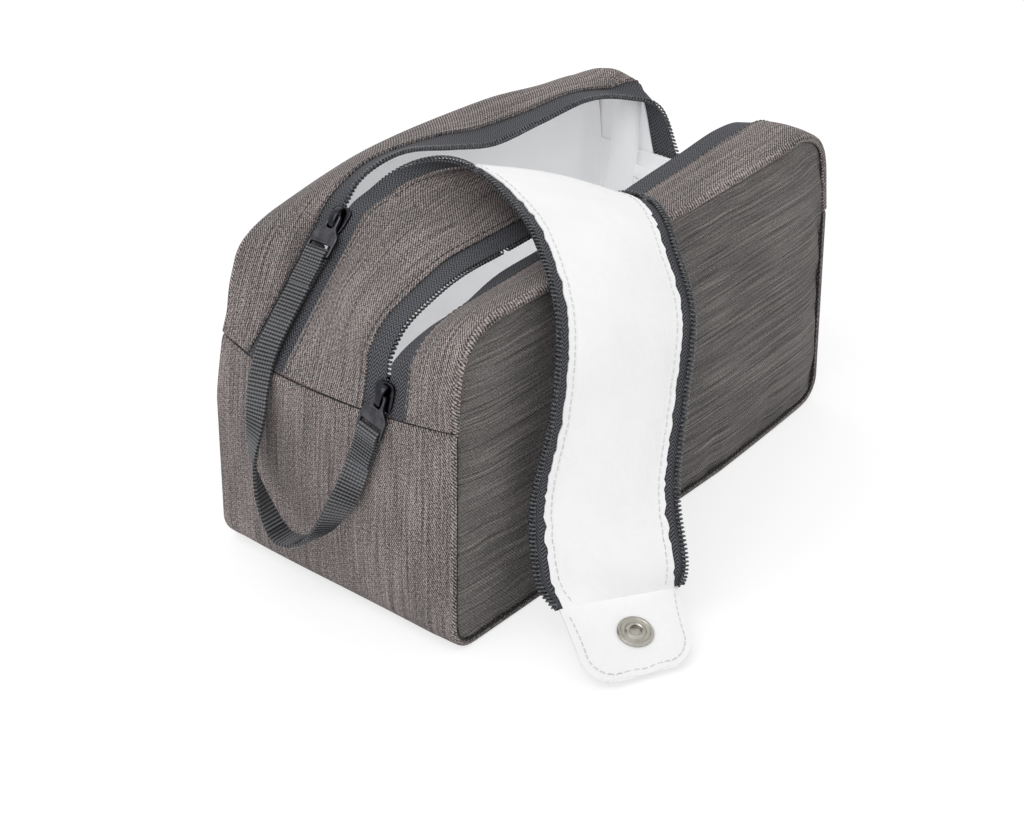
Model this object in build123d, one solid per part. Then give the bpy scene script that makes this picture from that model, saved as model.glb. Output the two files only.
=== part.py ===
from build123d import *
import os
from math import cos, radians, sin

# Soft toiletry bag with a wide zip-off top flap that is rolled back over its front.
# Millimetres. X runs along the bag, -Y is the front panel, Z is up from the table.
# The origin is the centre of the base's resting face.

# Bag
bag_length = 250.0
bag_depth = 122.4
bag_height = 131.0
end_seam_drop = 38.0  # from the top to where the top parts are sewn to the end and base band
corner_radius = 12.0

# Cloth, foam and board
fabric = 0.8
lining = 0.5
foam = 2.2
board = 1.5
board_inset = 12.0
foam_margin = 7.0
lining_drop = 2.0  # the band's lining stops this far under the end seam
strip_margin = 0.8  # between a top strip's raw edge and the panel beside it
tape = 0.5
layer_gap = 0.1  # between layers that lie on each other
seam_gap = 0.2  # between pieces that meet edge to edge
hem_height = 9.0

# Zips
tape_width = 10.0  # what shows of a tape, from the middle of the zip to the cloth
coil_width = 2.0
coil_height = 2.0
closed_slot = 1.1  # between the two coils where a zip is closed
rear_zip_y = 33.0
front_zip_y = -28.5

# Sliders and their pulls
slider_length = 12.0
slider_width = 9.6
slider_corner = 1.3
plate = 1.3
slider_gap = 0.35
rear_slider_from_top = 0.5  # from the slider to the end of the zip's straight run
front_slider_from_top = 8.0
wedge = 0.6
bridge_width = 2.6
bridge_bar = 1.5
pull_head_width = 6.4
pull_bar_width = 13.6
pull_length = 19.0
pull_thickness = 1.8
pull_eye = 4.2
pull_slot_height = 2.6
pull_end_bar = 2.4
pull_side = 1.6
front_pull_tilt = -14.0  # the hanging loop draws this pull towards the rear

# Webbing loop
webbing_width = 10.0
webbing_thickness = 1.2
sewn_end_length = 12.0
loop_turn_height = 50.0  # the webbing turns a quarter within this height above its lowest point

# Flap, tab and snap
crease_height = 15.0
tab_width = 47.0
tab_length = 40.0
tab_corner = 13.0
crease_gap = 1.5
tab_tip_height = 2.0
snap_radius = 7.2
snap_height = 2.0
snap_cap = 1.0
snap_post = 2.1
snap_hole = 2.3
snap_from_crease = 19.5
stud_radius = 5.5
stud_base = 1.0
stud_height = 3.0
stud_below_seam = 22.5

# Inner pocket on the right end
pocket_stand_off = 6.5
pocket_depth = 84.0
pocket_below_seam = 5.0
pocket_floor = 22.0

half = bag_length / 2
end_seam_height = bag_height - end_seam_drop
pocket_height = end_seam_height - pocket_below_seam - pocket_floor
half_depth = bag_depth / 2
skin = tape / 2 + layer_gap + fabric  # from the middle of a tape to the outer face
under = tape / 2 + layer_gap + lining
coil_offset = closed_slot / 2 + coil_width / 2


def left(inset):
    return -half + skin + inset


def right(inset):
    return half - skin - inset


def top(rise):
    return bag_height + rise


def seam(rise):
    return end_seam_height + rise


def up_the_drop(share):
    """A height on the hanging part of the flap, from its crease to the bag's top."""
    return crease_height + (bag_height - crease_height) * share


def beyond_front(distance):
    return -half_depth - distance


# The two zips are straight beside the left end, where their sliders run.
rear_run_top = (left(48.5), top(8.0))
front_run_top = (left(3.8), seam(21.0))


def on_run(end, share):
    """A point in XZ on a zip's straight run, which starts at the left end seam."""
    return (left(0) + (end[0] - left(0)) * share, seam(0) + (end[1] - seam(0)) * share)


def along_run(end, y, shares):
    return [(x, y, z) for x, z in (on_run(end, share) for share in shares)]


rear_shares = [0.0, 0.2, 0.4, 0.6, 0.8, 1.0]
front_shares = [0.0, 0.75, 1.0]
panel_y = half_depth - fabric - seam_gap
rear_tape_y = rear_zip_y + tape_width
front_tape_y = front_zip_y - tape_width

# Rails are lists of points that run from the left end over the top to the right end.
rear_panel_rail = [
    (left(0), panel_y, seam(0)),
    (left(1.5), panel_y, seam(9)),
    (left(4), panel_y, seam(19)),
    (left(9), panel_y, top(-10)),
    (left(17), panel_y, top(-1)),
    (left(30), panel_y, top(4)),
    (left(48), panel_y, top(5.5)),
    (left(66), panel_y, top(6)),
    (left(88), panel_y, top(5.5)),
    (left(114), panel_y, top(5)),
    (right(104), panel_y, top(3.5)),
    (right(74), panel_y, top(1.5)),
    (right(44), panel_y, top(-1)),
    (right(20), panel_y, top(-6)),
    (right(4), panel_y, top(-18)),
    (right(0), panel_y, seam(0)),
]
rear_edge_rail = along_run(rear_run_top, rear_tape_y, rear_shares) + [
    (left(61), rear_tape_y, top(13)),
    (left(73), rear_tape_y, top(15.5)),
    (left(91), rear_tape_y, top(15)),
    (left(116), rear_tape_y, top(11)),
    (right(106), rear_tape_y, top(5)),
    (right(76), rear_tape_y, top(1.5)),
    (right(44), rear_tape_y, top(-1)),
    (right(19), rear_tape_y - 1, top(-6)),
    (right(4), rear_tape_y - 6, top(-19)),
    (right(0), rear_tape_y - 12, seam(0)),
]
rear_coil_rail = along_run(rear_run_top, rear_zip_y + coil_offset, rear_shares) + [
    (left(58), rear_zip_y + coil_offset, top(15.5)),
    (left(71), rear_zip_y, top(19.5)),
    (left(88), rear_zip_y, top(18)),
    (left(114), rear_zip_y, top(10)),
    (right(108), rear_zip_y, top(3.5)),
    (right(78), rear_zip_y, top(0)),
    (right(44), rear_zip_y, top(-1.5)),
    (right(20), rear_zip_y - 3, top(-6.5)),
    (right(4.5), rear_zip_y - 9, top(-20)),
    (right(0), rear_zip_y - 15, seam(0)),
]
front_panel_rail = [
    (left(0), -panel_y, seam(0)),
    (left(0.5), -panel_y, seam(11)),
    (left(3), -panel_y, top(-14)),
    (left(10), -panel_y, top(-4)),
    (left(22), -panel_y, top(0.5)),
    (left(38), -panel_y, top(1)),
    (left(64), -panel_y, top(0.5)),
    (left(94), -panel_y, top(0)),
    (left(124), -panel_y, top(0)),
    (right(94), -panel_y, top(0)),
    (right(64), -panel_y, top(0.5)),
    (right(38), -panel_y, top(1)),
    (right(19), -panel_y, top(-1)),
    (right(4.5), -panel_y, top(-13)),
    (right(0), -panel_y, seam(0)),
]
front_edge_rail = along_run(front_run_top, front_tape_y, front_shares) + [
    (left(12), front_tape_y, top(-10.5)),
    (left(24), front_tape_y, top(-7.5)),
    (left(40), front_tape_y, top(-6.5)),
    (left(64), front_tape_y, top(-6)),
    (left(94), front_tape_y, top(-5)),
    (left(124), front_tape_y, top(-3)),
    (right(94), front_tape_y, top(-1.5)),
    (right(66), front_tape_y, top(0.5)),
    (right(38), front_tape_y, top(1)),
    (right(18), front_tape_y, top(-2.5)),
    (right(4), front_tape_y, top(-16)),
    (right(0), front_tape_y, seam(0)),
]
front_coil_rail = along_run(front_run_top, front_zip_y - coil_offset, front_shares) + [
    (left(12.5), front_zip_y - coil_offset, top(-11.5)),
    (left(24), front_zip_y - coil_offset, top(-8.5)),
    (left(40), front_zip_y - coil_offset, top(-8)),
    (left(64), front_zip_y - coil_offset, top(-8)),
    (left(94), front_zip_y - coil_offset, top(-7)),
    (left(124), front_zip_y - coil_offset, top(-4)),
    (right(94), front_zip_y - coil_offset, top(-1.5)),
    (right(66), front_zip_y - coil_offset, top(0.5)),
    (right(38), front_zip_y - coil_offset, top(0.5)),
    (right(18), front_zip_y - coil_offset, top(-3.5)),
    (right(4.5), front_zip_y - coil_offset, top(-17)),
    (right(0), front_zip_y - coil_offset, seam(0)),
]
# The flap's rails are the middles of its two coils: along the bag, over the roll, down the front.
flap_rear_rail = along_run(rear_run_top, rear_zip_y - coil_offset, rear_shares) + [
    (left(60), rear_zip_y - 2.0, top(11.5)),
    (left(70), rear_zip_y - 5.0, top(16)),
    (left(77), rear_zip_y - 14, top(20.5)),
    (left(80), rear_zip_y - 26, top(23.5)),
    (left(79), rear_zip_y - 40, top(23.5)),
    (left(73.5), beyond_front(-35), top(20)),
    (left(63), beyond_front(-13.5), top(14.5)),
    (left(46), beyond_front(11), up_the_drop(0.966)),
    (left(35), beyond_front(18), up_the_drop(0.68)),
    (left(27), beyond_front(15.3), up_the_drop(0.354)),
    (left(24.5), beyond_front(21), up_the_drop(0.095)),
    (left(25), beyond_front(29.8), up_the_drop(0.0)),
]
flap_front_rail = along_run(front_run_top, front_zip_y + coil_offset, front_shares) + [
    (left(11.5), front_zip_y + coil_offset, top(-8.5)),
    (left(26), front_zip_y + coil_offset, top(-3.5)),
    (left(46), front_zip_y + coil_offset, top(0)),
    (left(72), front_zip_y + coil_offset, top(0)),
    (left(102), front_zip_y + coil_offset, top(0)),
    (left(121), front_zip_y - 0.5, top(1)),
    (left(132), front_zip_y - 9.5, top(3)),
    (left(130), beyond_front(-10), top(5.5)),
    (left(123), beyond_front(3), top(5.5)),
    (left(113), beyond_front(16), top(-0.5)),
    (left(100.5), beyond_front(34), up_the_drop(0.836)),
    (left(87.5), beyond_front(41), up_the_drop(0.589)),
    (left(75), beyond_front(48), up_the_drop(0.324)),
    (left(71), beyond_front(56.8), up_the_drop(0.095)),
    (left(70.5), beyond_front(55.3), up_the_drop(-0.01)),
]
arch_start = 6  # rail points where the flap leaves the bag's top and where its roll ends
arch_end = 10

# The webbing loop hangs from the two pulls. Each half runs from its sewn end to the lowest point.
rear_loop_route = [
    (left(8.5), rear_zip_y - 0.2, seam(13)),
    (left(-0.5), rear_zip_y - 0.5, seam(4)),
    (left(-7.5), rear_zip_y - 2, seam(-7)),
    (left(-11), rear_zip_y - 3, seam(-21)),
    (left(-12.5), rear_zip_y - 1.5, seam(-38)),
    (left(-13.5), rear_zip_y - 5.5, seam(-51)),
    (left(-14), rear_zip_y - 12, seam(-62.5)),
]
front_loop_route = [
    (left(-9.7), front_zip_y + 10.5, seam(-33)),
    (left(-11.7), front_zip_y + 15, seam(-44)),
    (left(-13.2), front_zip_y + 21, seam(-54.5)),
    (left(-14), front_zip_y + 29.5, seam(-64.5)),
]
loop_bottom = (left(-14.2), rear_zip_y - 18.5, seam(-69))


def curve_through(points, steps):
    """Points on a smooth curve through the given ones, with some steps from each to the next."""
    knots = [Vector(*p) for p in points]
    last = len(knots) - 1
    found = []
    for i in range(last):
        a, b = knots[i], knots[i + 1]
        before = knots[i - 1] if i > 0 else a * 2 - b
        after = knots[i + 2] if i + 2 <= last else b * 2 - a
        for step in range(steps):
            t = step / steps
            found.append(
                (
                    a * 2
                    + (b - before) * t
                    + (before * 2 - a * 5 + b * 4 - after) * t**2
                    + (a * 3 - before - b * 3 + after) * t**3
                )
                * 0.5
            )
    return found + [knots[last]]


class Strip:
    """A strip of cloth between two rails, with the outward normal at each station."""

    def __init__(self, rail_a, rail_b, normals=None):
        self.a, self.b = rail_a, rail_b
        self.normals = normals or [self.normal_at(i) for i in range(len(rail_a))]

    def normal_at(self, i):
        before, after = max(i - 1, 0), min(i + 1, len(self.a) - 1)
        along = self.a[after] - self.a[before] + self.b[after] - self.b[before]
        return (self.b[i] - self.a[i]).cross(along).normalized()

    def across(self, i):
        return (self.b[i] - self.a[i]).normalized()

    def stretch(self, first, last):
        """The strip between two stations."""
        cut = slice(first, last + 1)
        return Strip(self.a[cut], self.b[cut], self.normals[cut])

    def inside(self, from_a, from_b):
        """The strip without a margin at each rail."""
        count = range(len(self.a))
        rail_a = [self.a[i] + self.across(i) * from_a for i in count]
        rail_b = [self.b[i] - self.across(i) * from_b for i in count]
        return Strip(rail_a, rail_b, self.normals)

    def beside_a(self, start, end):
        count = range(len(self.a))
        rail_a = [self.a[i] + self.across(i) * start for i in count]
        rail_b = [self.a[i] + self.across(i) * end for i in count]
        return Strip(rail_a, rail_b, self.normals)

    def beside_b(self, start, end):
        count = range(len(self.a))
        rail_a = [self.b[i] - self.across(i) * end for i in count]
        rail_b = [self.b[i] - self.across(i) * start for i in count]
        return Strip(rail_a, rail_b, self.normals)

    def solid(self, low, high):
        """The strip as a solid, between two heights along its outward normal."""
        sections = []
        for a, b, out in zip(self.a, self.b, self.normals):
            corners = [a + out * low, b + out * low, b + out * high, a + out * high]
            sections.append(Wire.make_polygon(corners, close=True))
        return Solid.make_loft(sections, ruled=True)


def save(name, *solids):
    shape = solids[0] if len(solids) == 1 else Compound(children=list(solids))
    shape.label = name
    export_step(shape, f"parts/{name}.step")


def save_strip(name, strip, low, high):
    save(name, strip.solid(low, high))


def save_tape(name, side, coil_at_a):
    """A half zip's tape, from just past its coil to the cloth it is sewn to."""
    margins = (-coil_width / 2, seam_gap) if coil_at_a else (seam_gap, -coil_width / 2)
    save_strip(name, side.inside(*margins), *tape_span)


tape_span = (-tape / 2, tape / 2)
outer_span = (tape / 2 + layer_gap, skin)
lining_span = (-under, -tape / 2 - layer_gap)
coil_span = (-tape / 2 - layer_gap - coil_height, -tape / 2 - layer_gap)
coil_side = (-coil_width / 2, coil_width / 2)
cloth_margin = tape_width - coil_offset

steps = 2  # stations from one rail point to the next

os.makedirs("parts", exist_ok=True)


def clear_of_seam(strip):
    """The strip with its two ends lifted off the end seam by half a seam gap."""
    lift = Vector(0, 0, seam_gap / 2)
    for rail in (strip.a, strip.b):
        rail[0], rail[-1] = rail[0] + lift, rail[-1] + lift
    return strip


def fixed_side(name, panel_rail, edge_rail, coil_rail, at_rear):
    """The narrow top strip beside a panel, its lining, and the half zip sewn to its edge."""
    panel, edge, coil = (curve_through(rail, steps) for rail in (panel_rail, edge_rail, coil_rail))
    strip = clear_of_seam(Strip(panel, edge) if at_rear else Strip(edge, panel))
    side = clear_of_seam(Strip(edge, coil) if at_rear else Strip(coil, edge))
    sewn = strip.inside(strip_margin, 0) if at_rear else strip.inside(0, strip_margin)
    save_strip(f"{name}_top_strip", sewn, *outer_span)
    save_strip(f"{name}_strip_lining", sewn, *lining_span)
    save_tape(f"{name}_zip_tape", side, not at_rear)
    beside_coil = side.beside_b if at_rear else side.beside_a
    save_strip(f"{name}_zip_coil", beside_coil(*coil_side), *coil_span)


def cloth_edge(rail, facing, run_points):
    """Where the flap's cloth is sewn to a tape: level across the zip on its straight run."""
    points = []
    for i, point in enumerate(rail):
        beyond = min(1.0, max(0.0, i / steps - (run_points - 1)) / 2)
        level = Vector(0, -1, 0) if facing[i].Y < rail[i].Y else Vector(0, 1, 0)
        slant = (facing[i] - point).normalized()
        points.append(point + (level * (1 - beyond) + slant * beyond).normalized() * cloth_margin)
    return points


def flap_part(name, first, last):
    """One stretch of the flap: cloth, lining and the two half zips along its edges."""
    cloth, rear, front = (part.stretch(first, last) for part in (flap_cloth, flap_rear, flap_front))
    save_strip(f"flap_{name}_outer", cloth, *outer_span)
    save_strip(f"flap_{name}_lining", cloth, *lining_span)
    save_tape(f"flap_{name}_rear_tape", rear, True)
    save_tape(f"flap_{name}_front_tape", front, False)
    save_strip(f"flap_{name}_rear_coil", rear.beside_a(*coil_side), *coil_span)
    save_strip(f"flap_{name}_front_coil", front.beside_b(*coil_side), *coil_span)


def lower_outline(inset, top_z):
    """Edges from the left end round the base to the right end, inset from the outer face."""
    x, z, r = half - inset, inset, corner_radius - inset
    bend = r * (1 - cos(radians(45)))
    return [
        Line((-x, 0, top_z), (-x, 0, z + r)),
        ThreePointArc((-x, 0, z + r), (-x + bend, 0, z + bend), (-x + r, 0, z)),
        Line((-x + r, 0, z), (x - r, 0, z)),
        ThreePointArc((x - r, 0, z), (x - bend, 0, z + bend), (x, 0, z + r)),
        Line((x, 0, z + r), (x, 0, top_z)),
    ]


def panel_solid(rail, inset, y_start, y_end):
    """A plate with the outline of a side panel, inset from its outer edge."""
    flat = [Vector(p.X, 0, p.Z) for p in curve_through(rail, steps)]
    crest = []
    for i in range(1, len(flat) - 1):
        along = (flat[i + 1] - flat[i - 1]).normalized()
        out = Vector(-along.Z, 0, along.X)
        crest.append(flat[i] + out * (skin - inset))
    x = half - inset
    arc = Spline(Vector(-x, 0, seam(0)), *crest, Vector(x, 0, seam(0)))
    face = Face(Wire([arc] + lower_outline(inset, seam(0))))
    plate_solid = Solid.extrude(face, Vector(0, y_end - y_start, 0))
    return plate_solid.moved(Location((0, y_start, 0)))


def band_block(inset, top_z, reach):
    """The space inside the band, filled up to a height."""
    x = half - inset
    lid = Line((x, 0, top_z), (-x, 0, top_z))
    face = Face(Wire(lower_outline(inset, top_z) + [lid]))
    block = Solid.extrude(face, Vector(0, 2 * reach, 0))
    return block.moved(Location((0, -reach, 0)))


def band_solid(inset, thickness, top_z):
    """A layer of the band round the two ends and the base, below the end seams."""
    outside = band_block(inset, top_z, panel_y)
    inside = band_block(inset + thickness, top_z + thickness, half_depth)
    return (Part(outside.wrapped) - Part(inside.wrapped)).solids()[0]


# Side panels, each with foam and lining behind it
lining_inset = fabric + board + 2 * layer_gap
face_y = half_depth - fabric
for name, rail, side in (("front", front_panel_rail, -1), ("rear", rear_panel_rail, 1)):
    layers = [
        ("panel", 0.0, face_y, fabric),
        ("panel_foam", foam_margin, face_y - layer_gap - foam, foam),
        ("panel_lining", foam_margin, face_y - 2 * layer_gap - foam - lining, lining),
    ]
    for layer, inset, near, thickness in layers:
        start = near if side > 0 else -near - thickness
        save(f"{name}_{layer}", panel_solid(rail, inset, start, start + thickness))

# Band of both ends and the base, with its board and lining
stud_origin = (half, (rear_zip_y + front_zip_y) / 2, seam(-stud_below_seam))
stud_plane = Plane(origin=stud_origin, x_dir=(0, 1, 0), z_dir=(1, 0, 0))
stud_hole = stud_plane * Cylinder(snap_hole, 4 * fabric)
band = band_solid(0.0, fabric, seam(-seam_gap / 2))
save("end_and_base_band", (Part(band.wrapped) - stud_hole).solids()[0])
save("band_lining", band_solid(lining_inset, lining, seam(-lining_drop)))
board_length = bag_length - 2 * corner_radius
board_z = fabric + layer_gap + board / 2
save("base_board", Pos(0, 0, board_z) * Box(board_length, bag_depth - board_inset, board))

# Pocket sewn to the lining of the right end
wall_x = half - lining_inset - lining - layer_gap
pocket_z = pocket_floor + pocket_height / 2
pocket_x = wall_x - pocket_stand_off / 2
shell = Pos(pocket_x, 0, pocket_z) * Box(pocket_stand_off, pocket_depth, pocket_height)
room = Pos(pocket_x + lining, 0, pocket_z + lining) * Box(
    pocket_stand_off, pocket_depth - 2 * lining, pocket_height
)
save("inner_pocket", (shell - room).solids()[0])
hem_x = wall_x - pocket_stand_off + lining / 2
hem_z = pocket_floor + pocket_height - hem_height / 2
hem_thickness = 3 * lining + 2 * layer_gap
hem_block = Pos(hem_x, 0, hem_z + layer_gap + lining) * Box(
    hem_thickness, pocket_depth - 4 * lining, hem_height
)
hem_room = Pos(hem_x, 0, hem_z) * Box(lining + 2 * layer_gap, pocket_depth, hem_height + 2 * layer_gap)
save("pocket_hem", (hem_block - hem_room).solids()[0])

# Top strips with their half zips, and the flap in three stretches
fixed_side("rear", rear_panel_rail, rear_edge_rail, rear_coil_rail, True)
fixed_side("front", front_panel_rail, front_edge_rail, front_coil_rail, False)
flap_a, flap_b = curve_through(flap_rear_rail, steps), curve_through(flap_front_rail, steps)
cloth_a = cloth_edge(flap_a, flap_b, len(rear_shares))
cloth_b = cloth_edge(flap_b, flap_a, len(front_shares))
flap_cloth = clear_of_seam(Strip(cloth_a, cloth_b))
flap_rear = clear_of_seam(Strip(flap_a, list(cloth_a)))
flap_front = clear_of_seam(Strip(list(cloth_b), flap_b))
flap_part("base", 0, arch_start * steps)
flap_part("arch", arch_start * steps, arch_end * steps)
flap_part("drop", arch_end * steps, steps * (len(flap_rear_rail) - 1))

# Heights above the middle of the tape, and places along the zip from the pull's pivot
plate_z = tape / 2 + slider_gap
pivot_z = plate_z + plate + slider_gap + pull_thickness / 2
bridge_outer = pull_thickness / 2 + 2 * slider_gap + pull_thickness / 2 + bridge_bar
pull_slot_x = -pull_length + pull_end_bar + pull_slot_height / 2


class Slider:
    """A zip slider with its bridge and pull, on a zip's straight run.

    Its plane's X runs up the zip and its Z points out of the bag."""

    def __init__(self, name, run_top, y, from_top, tilt):
        self.name = name
        start, end = Vector(left(0), y, seam(0)), Vector(run_top[0], y, run_top[1])
        self.along = (end - start).normalized()
        self.out = Vector(-self.along.Z, 0, self.along.X)
        origin = end - self.along * (from_top + slider_length / 2)
        self.plane = Plane(origin=origin, x_dir=self.along, z_dir=self.out)
        self.tilt = tilt

    def body(self):
        lower_z = -tape / 2 - layer_gap - coil_height - slider_gap
        outline = RectangleRounded(slider_length, slider_width, slider_corner)
        top_plate = Pos(0, 0, plate_z) * extrude(outline, plate)
        bottom_plate = Pos(0, 0, lower_z - plate) * extrude(outline, plate)
        flange_top = -tape / 2 - slider_gap
        flange_y = coil_offset + coil_width / 2 + slider_gap
        flange_width = slider_width / 2 - flange_y
        flanges = [
            Pos(0, s * (flange_y + flange_width / 2), (flange_top + lower_z) / 2)
            * Box(slider_length - 2 * slider_corner, flange_width, flange_top - lower_z)
            for s in (-1, 1)
        ]
        post = Pos(slider_length / 3, 0, (plate_z + lower_z) / 2) * Box(
            slider_length / 4, wedge, plate_z - lower_z
        )
        ring = Rot(90, 0, 0) * (
            Cylinder(bridge_outer, bridge_width) - Cylinder(bridge_outer - bridge_bar, bridge_width)
        )
        above = Pos(0, 0, bridge_outer / 2) * Box(3 * bridge_outer, slider_width, bridge_outer)
        bridge = Pos(0, 0, plate_z + plate) * (Rot(0, 0, self.tilt) * (ring & above))
        return top_plate + bottom_plate + flanges[0] + flanges[1] + post + bridge

    def pull(self):
        """Lies down the zip from the pivot in the bridge, with an eye round the bridge."""
        eye_end = bridge_outer + 3 * slider_gap
        head = Pos(-eye_end / 2, 0) * Box(eye_end, pull_head_width, pull_thickness)
        neck = eye_end + pull_side
        shoulder = neck + (pull_bar_width - pull_head_width) / 2
        outline = Polyline(
            (-eye_end, -pull_head_width / 2),
            (-neck, -pull_head_width / 2),
            (-shoulder, -pull_bar_width / 2),
            (-pull_length, -pull_bar_width / 2),
            (-pull_length, pull_bar_width / 2),
            (-shoulder, pull_bar_width / 2),
            (-neck, pull_head_width / 2),
            (-eye_end, pull_head_width / 2),
            close=True,
        )
        body = Pos(0, 0, -pull_thickness / 2) * extrude(make_face(outline), pull_thickness)
        eye = Pos(-eye_end / 2 - pull_thickness / 4, 0) * Box(
            eye_end - pull_thickness / 2, pull_eye, 2 * pull_thickness
        )
        pin = Rot(90, 0, 0) * Cylinder(pull_thickness / 2, pull_head_width)
        slot = Pos(pull_slot_x, 0) * Box(
            pull_slot_height, webbing_width + 2 * slider_gap, 2 * pull_thickness
        )
        return head + body - eye + pin - slot

    def sewn_end(self):
        """The webbing's end, passed through the pull's slot and sewn to itself."""
        gap = slider_gap / 2
        bar_start, bar_end = pull_slot_x - pull_slot_height / 2, -pull_length
        room = (bar_start - bar_end + 2 * gap, pull_thickness + 2 * gap)
        sleeve = Box(
            room[0] + 2 * webbing_thickness, webbing_width, room[1] + 2 * webbing_thickness
        ) - Box(room[0], webbing_width, room[1])
        sleeve = Pos((bar_start + bar_end) / 2, 0) * sleeve
        strap_start = bar_end - gap - webbing_thickness / 2
        strap = Pos(strap_start - sewn_end_length / 2, 0) * Box(
            sewn_end_length, webbing_width, 2 * webbing_thickness
        )
        return sleeve + strap

    def pivot(self):
        """The pull's own plane at its pivot, turned sideways by the pull's tilt."""
        origin = self.plane.from_local_coords(Vector(0, 0, pivot_z))
        turn = radians(self.tilt)
        x_dir = self.along * cos(turn) + Vector(0, 1, 0) * sin(turn)
        return Plane(origin=origin, x_dir=x_dir, z_dir=self.out)

    def strap_end(self):
        """Where the free webbing leaves its sewn end."""
        reach = pull_length + slider_gap / 2 + webbing_thickness / 2 + sewn_end_length + seam_gap
        return self.pivot().from_local_coords(Vector(-reach, 0, 0))

    def save_all(self):
        save(f"{self.name}_slider", self.plane * self.body())
        save(f"{self.name}_pull", self.pivot() * self.pull())
        save(f"{self.name}_loop_end", self.pivot() * self.sewn_end())


rear_slider = Slider("rear", rear_run_top, rear_zip_y, rear_slider_from_top, 0.0)
front_slider = Slider("front", front_run_top, front_zip_y, front_slider_from_top, front_pull_tilt)
rear_slider.save_all()
front_slider.save_all()


def webbing(route):
    """Flat webbing along a route. It lies across Y at its two ends and across X at the bottom."""
    line = curve_through(route, 3)
    lowest = loop_bottom[2]
    rail_a, rail_b = [], []
    for i, point in enumerate(line):
        along = line[min(i + 1, len(line) - 1)] - line[max(i - 1, 0)]
        turn = radians(90) * min(1.0, max(0.0, point.Z - lowest) / loop_turn_height)
        towards = 1 if point.Y > loop_bottom[1] else -1
        wide = Vector(cos(turn), towards * sin(turn), 0)
        wide = (wide - along * (wide.dot(along) / along.dot(along))).normalized()
        rail_a.append(point + wide * (webbing_width / 2))
        rail_b.append(point - wide * (webbing_width / 2))
    return Strip(rail_a, rail_b)


thick = (-webbing_thickness / 2, webbing_thickness / 2)
rear_leg = [tuple(rear_slider.strap_end())] + rear_loop_route
front_leg = front_loop_route[::-1] + [tuple(front_slider.strap_end())]
loop = webbing(rear_leg + [loop_bottom] + front_leg)
save_strip("rear_loop_half", loop.stretch(0, 3 * len(rear_leg)), *thick)
save_strip("front_loop_half", loop.stretch(3 * len(rear_leg), len(loop.a) - 1), *thick)


# Tab, from the crease at the end of the zips, with its snap
crease_a, crease_b = flap_a[-1], flap_b[-1]
crease_middle = (crease_a + crease_b) * 0.5
across_tab = (crease_b - crease_a).normalized()
level_out = across_tab.cross(Vector(0, 0, 1)).normalized()
drop_sine = (crease_middle.Z - tab_tip_height) / tab_length
along_tab = level_out * (1 - drop_sine**2) ** 0.5 - Vector(0, 0, drop_sine)
tab_plane = Plane(origin=crease_middle, x_dir=along_tab, z_dir=across_tab.cross(along_tab))


def tab_layer(low, high):
    start = crease_gap
    blank = Pos((start + tab_length) / 2, 0) * Rectangle(tab_length - start, tab_width)
    ends = blank.vertices().filter_by(lambda v: v.X > tab_length - 1)
    return Pos(0, 0, low) * extrude(fillet(ends, tab_corner), high - low)


def disc(radius, low, high):
    return Pos(0, 0, (low + high) / 2) * Cylinder(radius, high - low)


at_snap = Pos(snap_from_crease, 0)
tab_hole = at_snap * Cylinder(snap_hole, 4 * skin)
save("tab_outer", tab_plane * (tab_layer(*outer_span) - tab_hole))
save("tab_lining", tab_plane * (tab_layer(*lining_span) - tab_hole))
cap_z = skin + layer_gap
socket_z = -under - layer_gap
rivet_end = socket_z - snap_height / 4
cap = disc(snap_radius, cap_z, cap_z + snap_cap) + disc(snap_post, rivet_end, cap_z)
socket = disc(snap_radius, socket_z - snap_height, socket_z) - Cylinder(snap_hole, 8 * snap_height)
save("snap_cap", tab_plane * (at_snap * cap))
save("snap_socket", tab_plane * (at_snap * socket))

# Snap stud on the right end, where the closed tab reaches it
washer_z = -fabric - layer_gap
stud = (
    disc(stud_radius, layer_gap, layer_gap + stud_base)
    + disc(snap_post - layer_gap, layer_gap + stud_base, layer_gap + stud_height)
    + disc(snap_post, washer_z - stud_base / 2, layer_gap)
)
washer = disc(stud_radius, washer_z - stud_base, washer_z) - Cylinder(snap_hole, 8 * stud_base)
save("snap_stud", stud_plane * stud)
save("snap_washer", stud_plane * washer)
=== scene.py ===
import logging
import math
from dataclasses import dataclass, field
from enum import Enum
from typing import Any, Callable, Sequence

import bmesh
import bpy
import numpy as np
from mathutils import Matrix, Vector


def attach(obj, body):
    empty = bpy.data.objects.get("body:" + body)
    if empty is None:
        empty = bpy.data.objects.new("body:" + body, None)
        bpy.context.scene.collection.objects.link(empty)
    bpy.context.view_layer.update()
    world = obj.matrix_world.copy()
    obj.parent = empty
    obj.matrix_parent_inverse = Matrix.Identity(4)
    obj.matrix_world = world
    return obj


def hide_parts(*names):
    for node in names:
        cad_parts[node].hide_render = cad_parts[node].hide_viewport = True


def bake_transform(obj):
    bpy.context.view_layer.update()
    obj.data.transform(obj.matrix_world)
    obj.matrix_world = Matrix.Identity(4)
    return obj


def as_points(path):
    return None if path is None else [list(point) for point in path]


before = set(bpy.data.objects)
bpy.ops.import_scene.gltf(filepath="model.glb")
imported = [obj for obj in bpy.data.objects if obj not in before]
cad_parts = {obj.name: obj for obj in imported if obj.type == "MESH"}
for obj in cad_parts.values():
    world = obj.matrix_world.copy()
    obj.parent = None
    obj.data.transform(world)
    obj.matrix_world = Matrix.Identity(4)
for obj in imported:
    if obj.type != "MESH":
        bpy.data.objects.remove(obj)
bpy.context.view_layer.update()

log = logging.getLogger("toiletry_bag")

MM = 0.001
Array = np.ndarray
Point = tuple[float, float, float]
Rail = Sequence[Point]
Faces = list[tuple[int, ...]]
Thing = bpy.types.Object
Material = bpy.types.Material
Finish = tuple[Material, str]  # a material, and the record's slot for it


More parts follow.
